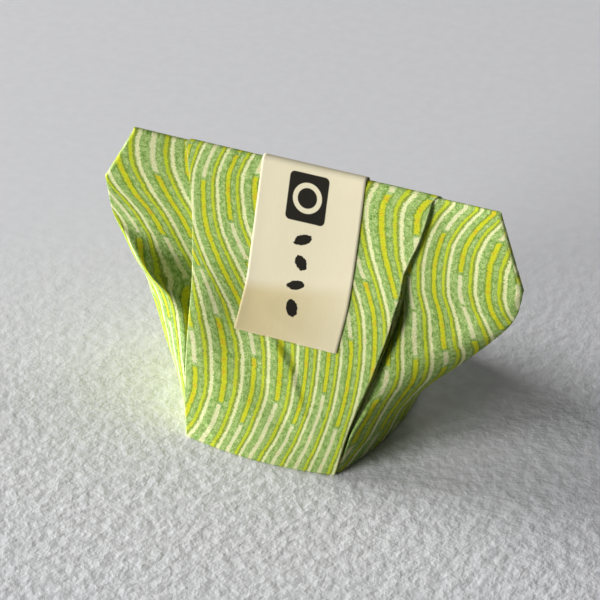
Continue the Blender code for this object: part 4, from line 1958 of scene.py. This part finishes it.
@dataclass(frozen=True)
class LabelFinish:
    """Smooth cream paper with a dark tile and a column of ink dabs.

    The tile is given by its middle, across and down, and its half width and half height.
    Below the bend, which starts lower at the left edge than at the right, shade is painted
    on the paper as a darker, warmer tone, and this fades out toward the right.
    """

    paper: Colour = screen_colour(203, 195, 168)
    # Darker, warmer colour for the painted shade below the bend, and a little for the fibre's tone.
    warm_tone_and_shade: Colour = screen_colour(188, 174, 133)
    ink: Colour = screen_colour(22, 18, 8)
    roughness: float = 0.6
    specular: float = 0.08
    tile: tuple[float, float, float, float] = (-0.6, 6.0, 4.9, 5.7)
    tile_corner: float = 1.2
    ring_radius: float = 3.0
    ring_width: float = 0.6
    shade_left: float = 28.0
    shade_slope: float = 0.14
    shade_start: tuple[float, float] = (-1.0, 3.5)
    shade_run: tuple[float, float] = (26.0, -12.0)
    edge: float = 0.10
    dab_edge: float = 0.08
    rag: float = 1.3
    rag_noise: Mottle = Mottle(1.1, 3.0, 0.6)
    fibre_scale: float = 1.4
    fibre_stretch: float = 0.25
    fibre_depth: float = 0.03
    fibre_warmth: float = 0.10
    dabs: tuple[InkDab, ...] = (
        InkDab(-0.4, 15.8, 2.1, 1.3, 0.3),
        InkDab(-0.1, 21.2, 1.5, 1.7, -0.3),
        InkDab(-0.6, 26.6, 2.2, 1.1, 0.2),
        InkDab(-0.3, 32.2, 1.5, 1.9, -0.4),
    )

    def tile_mask(self, bench: NodeBench, across: Value, down: Value) -> bpy.types.NodeSocket:
        """Mask the dark tile, with its ring left bare.

        Args:
            bench: bench of the material.
            across: millimetres across the label from its middle line.
            down: millimetres down the label from the ridge.

        Returns:
            The mask.
        """
        x, y, half_width, half_height = self.tile
        sides = []
        for value, middle, half in ((across, x, half_width), (down, y, half_height)):
            sides.append(bench.larger(bench.minus(bench.apart(value, middle), half - self.tile_corner), 0.0))
        corner = bench.math("SQRT", bench.squares(*sides))
        tile = bench.between(corner, self.tile_corner + self.edge, self.tile_corner - self.edge)
        from_middle = bench.math("SQRT", bench.squares(bench.minus(across, x), bench.minus(down, y)))
        off_ring = bench.apart(from_middle, self.ring_radius)
        ring = bench.between(off_ring, self.ring_width + self.edge, self.ring_width - self.edge)
        return bench.times(tile, bench.minus(1.0, ring))

    def dab_mask(self, bench: NodeBench, across: Value, down: Value, ragged: Value,
                 dab: InkDab) -> bpy.types.NodeSocket:
        """Mask one dab of ink with a ragged rim.

        Args:
            bench: bench of the material.
            across: millimetres across the label from its middle line.
            down: millimetres down the label from the ridge.
            ragged: how much the rim is moved in or out.
            dab: the dab.

        Returns:
            The mask.
        """
        dx = bench.minus(across, dab.across)
        dy = bench.math("MULTIPLY_ADD", dx, dab.slant, bench.minus(down, dab.down))
        dx = bench.math("DIVIDE", dx, dab.half_width)
        dy = bench.math("DIVIDE", dy, dab.half_height)
        reach = bench.plus(bench.squares(dx, dy), ragged)
        return bench.between(reach, 1 + self.dab_edge, 1 - self.dab_edge)

    def material(self) -> bpy.types.Material:
        """Mix the label's material, which reads millimetres across and down from its print layer.

        Returns:
            The material.
        """
        bench = MaterialBench("cream_label_paper", self.roughness, self.specular)
        layer = bench.print_layer()
        across, down, _ = bench.split(layer)
        fibre = bench.group(FIBRE.tree, Vector=layer, Scale=self.fibre_scale, Stretch=self.fibre_stretch)
        ragged = bench.times(self.rag_noise.swing(bench, layer), self.rag)
        ink = self.tile_mask(bench, across, down)
        for dab in self.dabs:
            ink = bench.larger(ink, self.dab_mask(bench, across, down, ragged, dab))
        # Painted shade: below the bend, most at the left edge, the paper is mixed toward the darker, warmer
        # colour.
        from_left = bench.plus(across, Label.width / 2)
        past = bench.math("MULTIPLY_ADD", from_left, self.shade_slope, bench.minus(down, self.shade_left))
        folded = bench.times(bench.between(past, *self.shade_start), bench.between(across, *self.shade_run))
        fibre_tone_and_shade = bench.math("MULTIPLY_ADD", fibre["Mask"], self.fibre_warmth, folded)
        colour = bench.mix(ink, bench.mix(fibre_tone_and_shade, self.paper, self.warm_tone_and_shade), self.ink)
        return bench.dress(colour, bench.times(fibre["Height"], self.fibre_depth))


class LightKind(Enum):
    """The soft lights of the studio."""

    WINDOW = "window"
    FRONT = "front"
    TOP = "top"
    BACK = "back"


@dataclass(frozen=True)
class SoftLight:
    """A rectangular area light that looks at the object: its place, size and power in watts."""

    kind: LightKind
    azimuth: float
    elevation: float
    width: float
    height: float
    power: float
    distance: float = 2500.0


@dataclass(frozen=True)
class Studio:
    """Plain pale floor with the nap of felt, soft lights and the camera.

    The felt fades in between two places, in metres from the object toward the camera.
    """

    offset: Vector
    azimuth: float = 23.4
    elevation: float = 35.0
    distance: float = 800.0
    focal_pixels: float = 3455.0
    frame_pixels: float = 600.0
    sensor: float = 36.0
    clip_end: float = 10.0
    target: tuple[float, float, float] = (1.7, -12.0, 33.6)
    light_target: tuple[float, float, float] = (0.0, 0.0, 25.0)
    floor_size: float = 3000.0
    floor_parts: int = 4
    floor_colour: Colour = screen_colour(231, 231, 234)
    floor_roughness: float = 0.9
    floor_specular: float = 0.1
    felt: Mottle = Mottle(330.0, 4.0, 0.55, 0.70, 0.34)
    felt_shade: Colour = (0.0, 0.0, 0.0, 1.0)
    felt_fade: tuple[float, float] = (-0.095, 0.06)
    felt_contrast: float = 0.11
    felt_least: float = 0.03
    felt_nap: float = 0.5
    world_colour: Colour = (1.0, 1.0, 1.0, 1.0)
    world_strength: float = 0.04
    lights: tuple[SoftLight, ...] = (
        SoftLight(LightKind.WINDOW, azimuth=-91.0, elevation=8.0, width=1300.0, height=740.0, power=128.0),
        SoftLight(LightKind.FRONT, azimuth=-34.0, elevation=8.0, width=1100.0, height=740.0, power=62.0),
        SoftLight(LightKind.TOP, azimuth=-44.0, elevation=55.0, width=900.0, height=900.0, power=12.0),
        SoftLight(LightKind.BACK, azimuth=145.0, elevation=50.0, width=900.0, height=900.0, power=6.5),
    )

    def look_from(self, azimuth: float, elevation: float) -> Vector:
        """Direction from the object toward a place at an azimuth from the front and an elevation."""
        turn, rise = math.radians(azimuth), math.radians(elevation)
        return Vector((math.sin(turn) * math.cos(rise), -math.cos(turn) * math.cos(rise), math.sin(rise)))

    def aim(self, piece: bpy.types.Object, away: Vector, distance: float,
            target: tuple[float, float, float]) -> None:
        """Put a camera or light at a distance from a target and turn it there.

        Args:
            piece: the camera or light.
            away: direction from the target to it.
            distance: in millimetres.
            target: in millimetres from the middle of the ridge on the ground.
        """
        piece.location = (Vector(target) + self.offset + away * distance) * MM
        piece.rotation_euler = away.to_track_quat("Z", "Y").to_euler()
        bpy.context.scene.collection.objects.link(piece)

    def build_camera(self) -> None:
        """Make the camera at the viewing angle and use it."""
        data = bpy.data.cameras.new("camera")
        data.sensor_width = self.sensor
        data.lens = self.focal_pixels / self.frame_pixels * self.sensor
        data.clip_end = self.clip_end
        camera = bpy.data.objects.new("camera", data)
        self.aim(camera, self.look_from(self.azimuth, self.elevation), self.distance, self.target)
        bpy.context.scene.camera = camera

    def build_lights(self) -> None:
        """Make the soft lights and the pale surroundings."""
        for light in self.lights:
            data = bpy.data.lights.new(light.kind.value, "AREA")
            data.shape = "RECTANGLE"
            data.size = light.width * MM
            data.size_y = light.height * MM
            data.energy = light.power
            lamp = bpy.data.objects.new(light.kind.value, data)
            self.aim(lamp, self.look_from(light.azimuth, light.elevation), light.distance, self.light_target)
        world = bpy.data.worlds.new("pale_room")
        world.use_nodes = True
        background = world.node_tree.nodes["Background"]
        background.inputs["Color"].default_value = self.world_colour
        background.inputs["Strength"].default_value = self.world_strength
        bpy.context.scene.world = world
        bpy.context.scene.view_settings.view_transform = "Standard"

    def floor_material(self) -> bpy.types.Material:
        """Mix the floor's material.

        Returns:
            The material.
        """
        bench = MaterialBench("pale_floor", self.floor_roughness, self.floor_specular)
        place = bench.object_place()
        toward = bench.add("ShaderNodeVectorMath", {"operation": "DOT_PRODUCT"})
        bench.put(toward.inputs[0], place)
        bench.put(toward.inputs[1], self.look_from(self.azimuth, 0.0))
        near = bench.between(toward.outputs["Value"], *self.felt_fade)
        grain = self.felt.raw(bench, place)
        depth = bench.math("MULTIPLY_ADD", near, self.felt_contrast, self.felt_least)
        darker = bench.times(bench.between(grain, self.felt.low, self.felt.high), depth)
        nap = bench.times(bench.times(grain, near), self.felt_nap)
        return bench.dress(bench.mix(darker, self.floor_colour, self.felt_shade), nap)

    def build_floor(self) -> None:
        """Make the plain floor."""
        mesh = bmesh.new()
        bmesh.ops.create_grid(mesh, x_segments=self.floor_parts, y_segments=self.floor_parts,
                              size=self.floor_size / 2 * MM)
        data = bpy.data.meshes.new("floor")
        mesh.to_mesh(data)
        mesh.free()
        data.materials.append(self.floor_material())
        floor = bpy.data.objects.new("floor", data)
        bpy.context.scene.collection.objects.link(floor)


def ridge_offset() -> Vector:
    """Where the middle of the ridge stands on the ground, in millimetres, read from the frame."""
    low, high = (Vector(corner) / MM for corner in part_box("wrapper"))
    return Vector(((low.x + high.x) / 2 + RIDGE_PLACE[0], (low.y + high.y) / 2 + RIDGE_PLACE[1], 0.0))


def main() -> None:
    """Build the wrapper, the label and the studio, and report each piece."""
    logging.basicConfig(level=logging.INFO, format="%(message)s")
    offset = ridge_offset()
    LOG.info("ridge middle at %.2f, %.2f mm", offset.x, offset.y)
    washi = WashiFinish().material()
    label_paper = LabelFinish().material()
    pieces = [
        WrapperBody(offset).build(washi),
        PleatedPanels(offset).build(washi),
        FoldedCorner(offset, FORM.left).build(washi),
        FoldedCorner(offset, FORM.right).build(washi),
        Label(offset).build(label_paper),
    ]
    studio = Studio(offset)
    studio.build_floor()
    studio.build_lights()
    studio.build_camera()
    for piece in pieces:
        LOG.info("%s: %d faces", piece.name, len(piece.data.polygons))


if __name__ == "__main__":
    main()
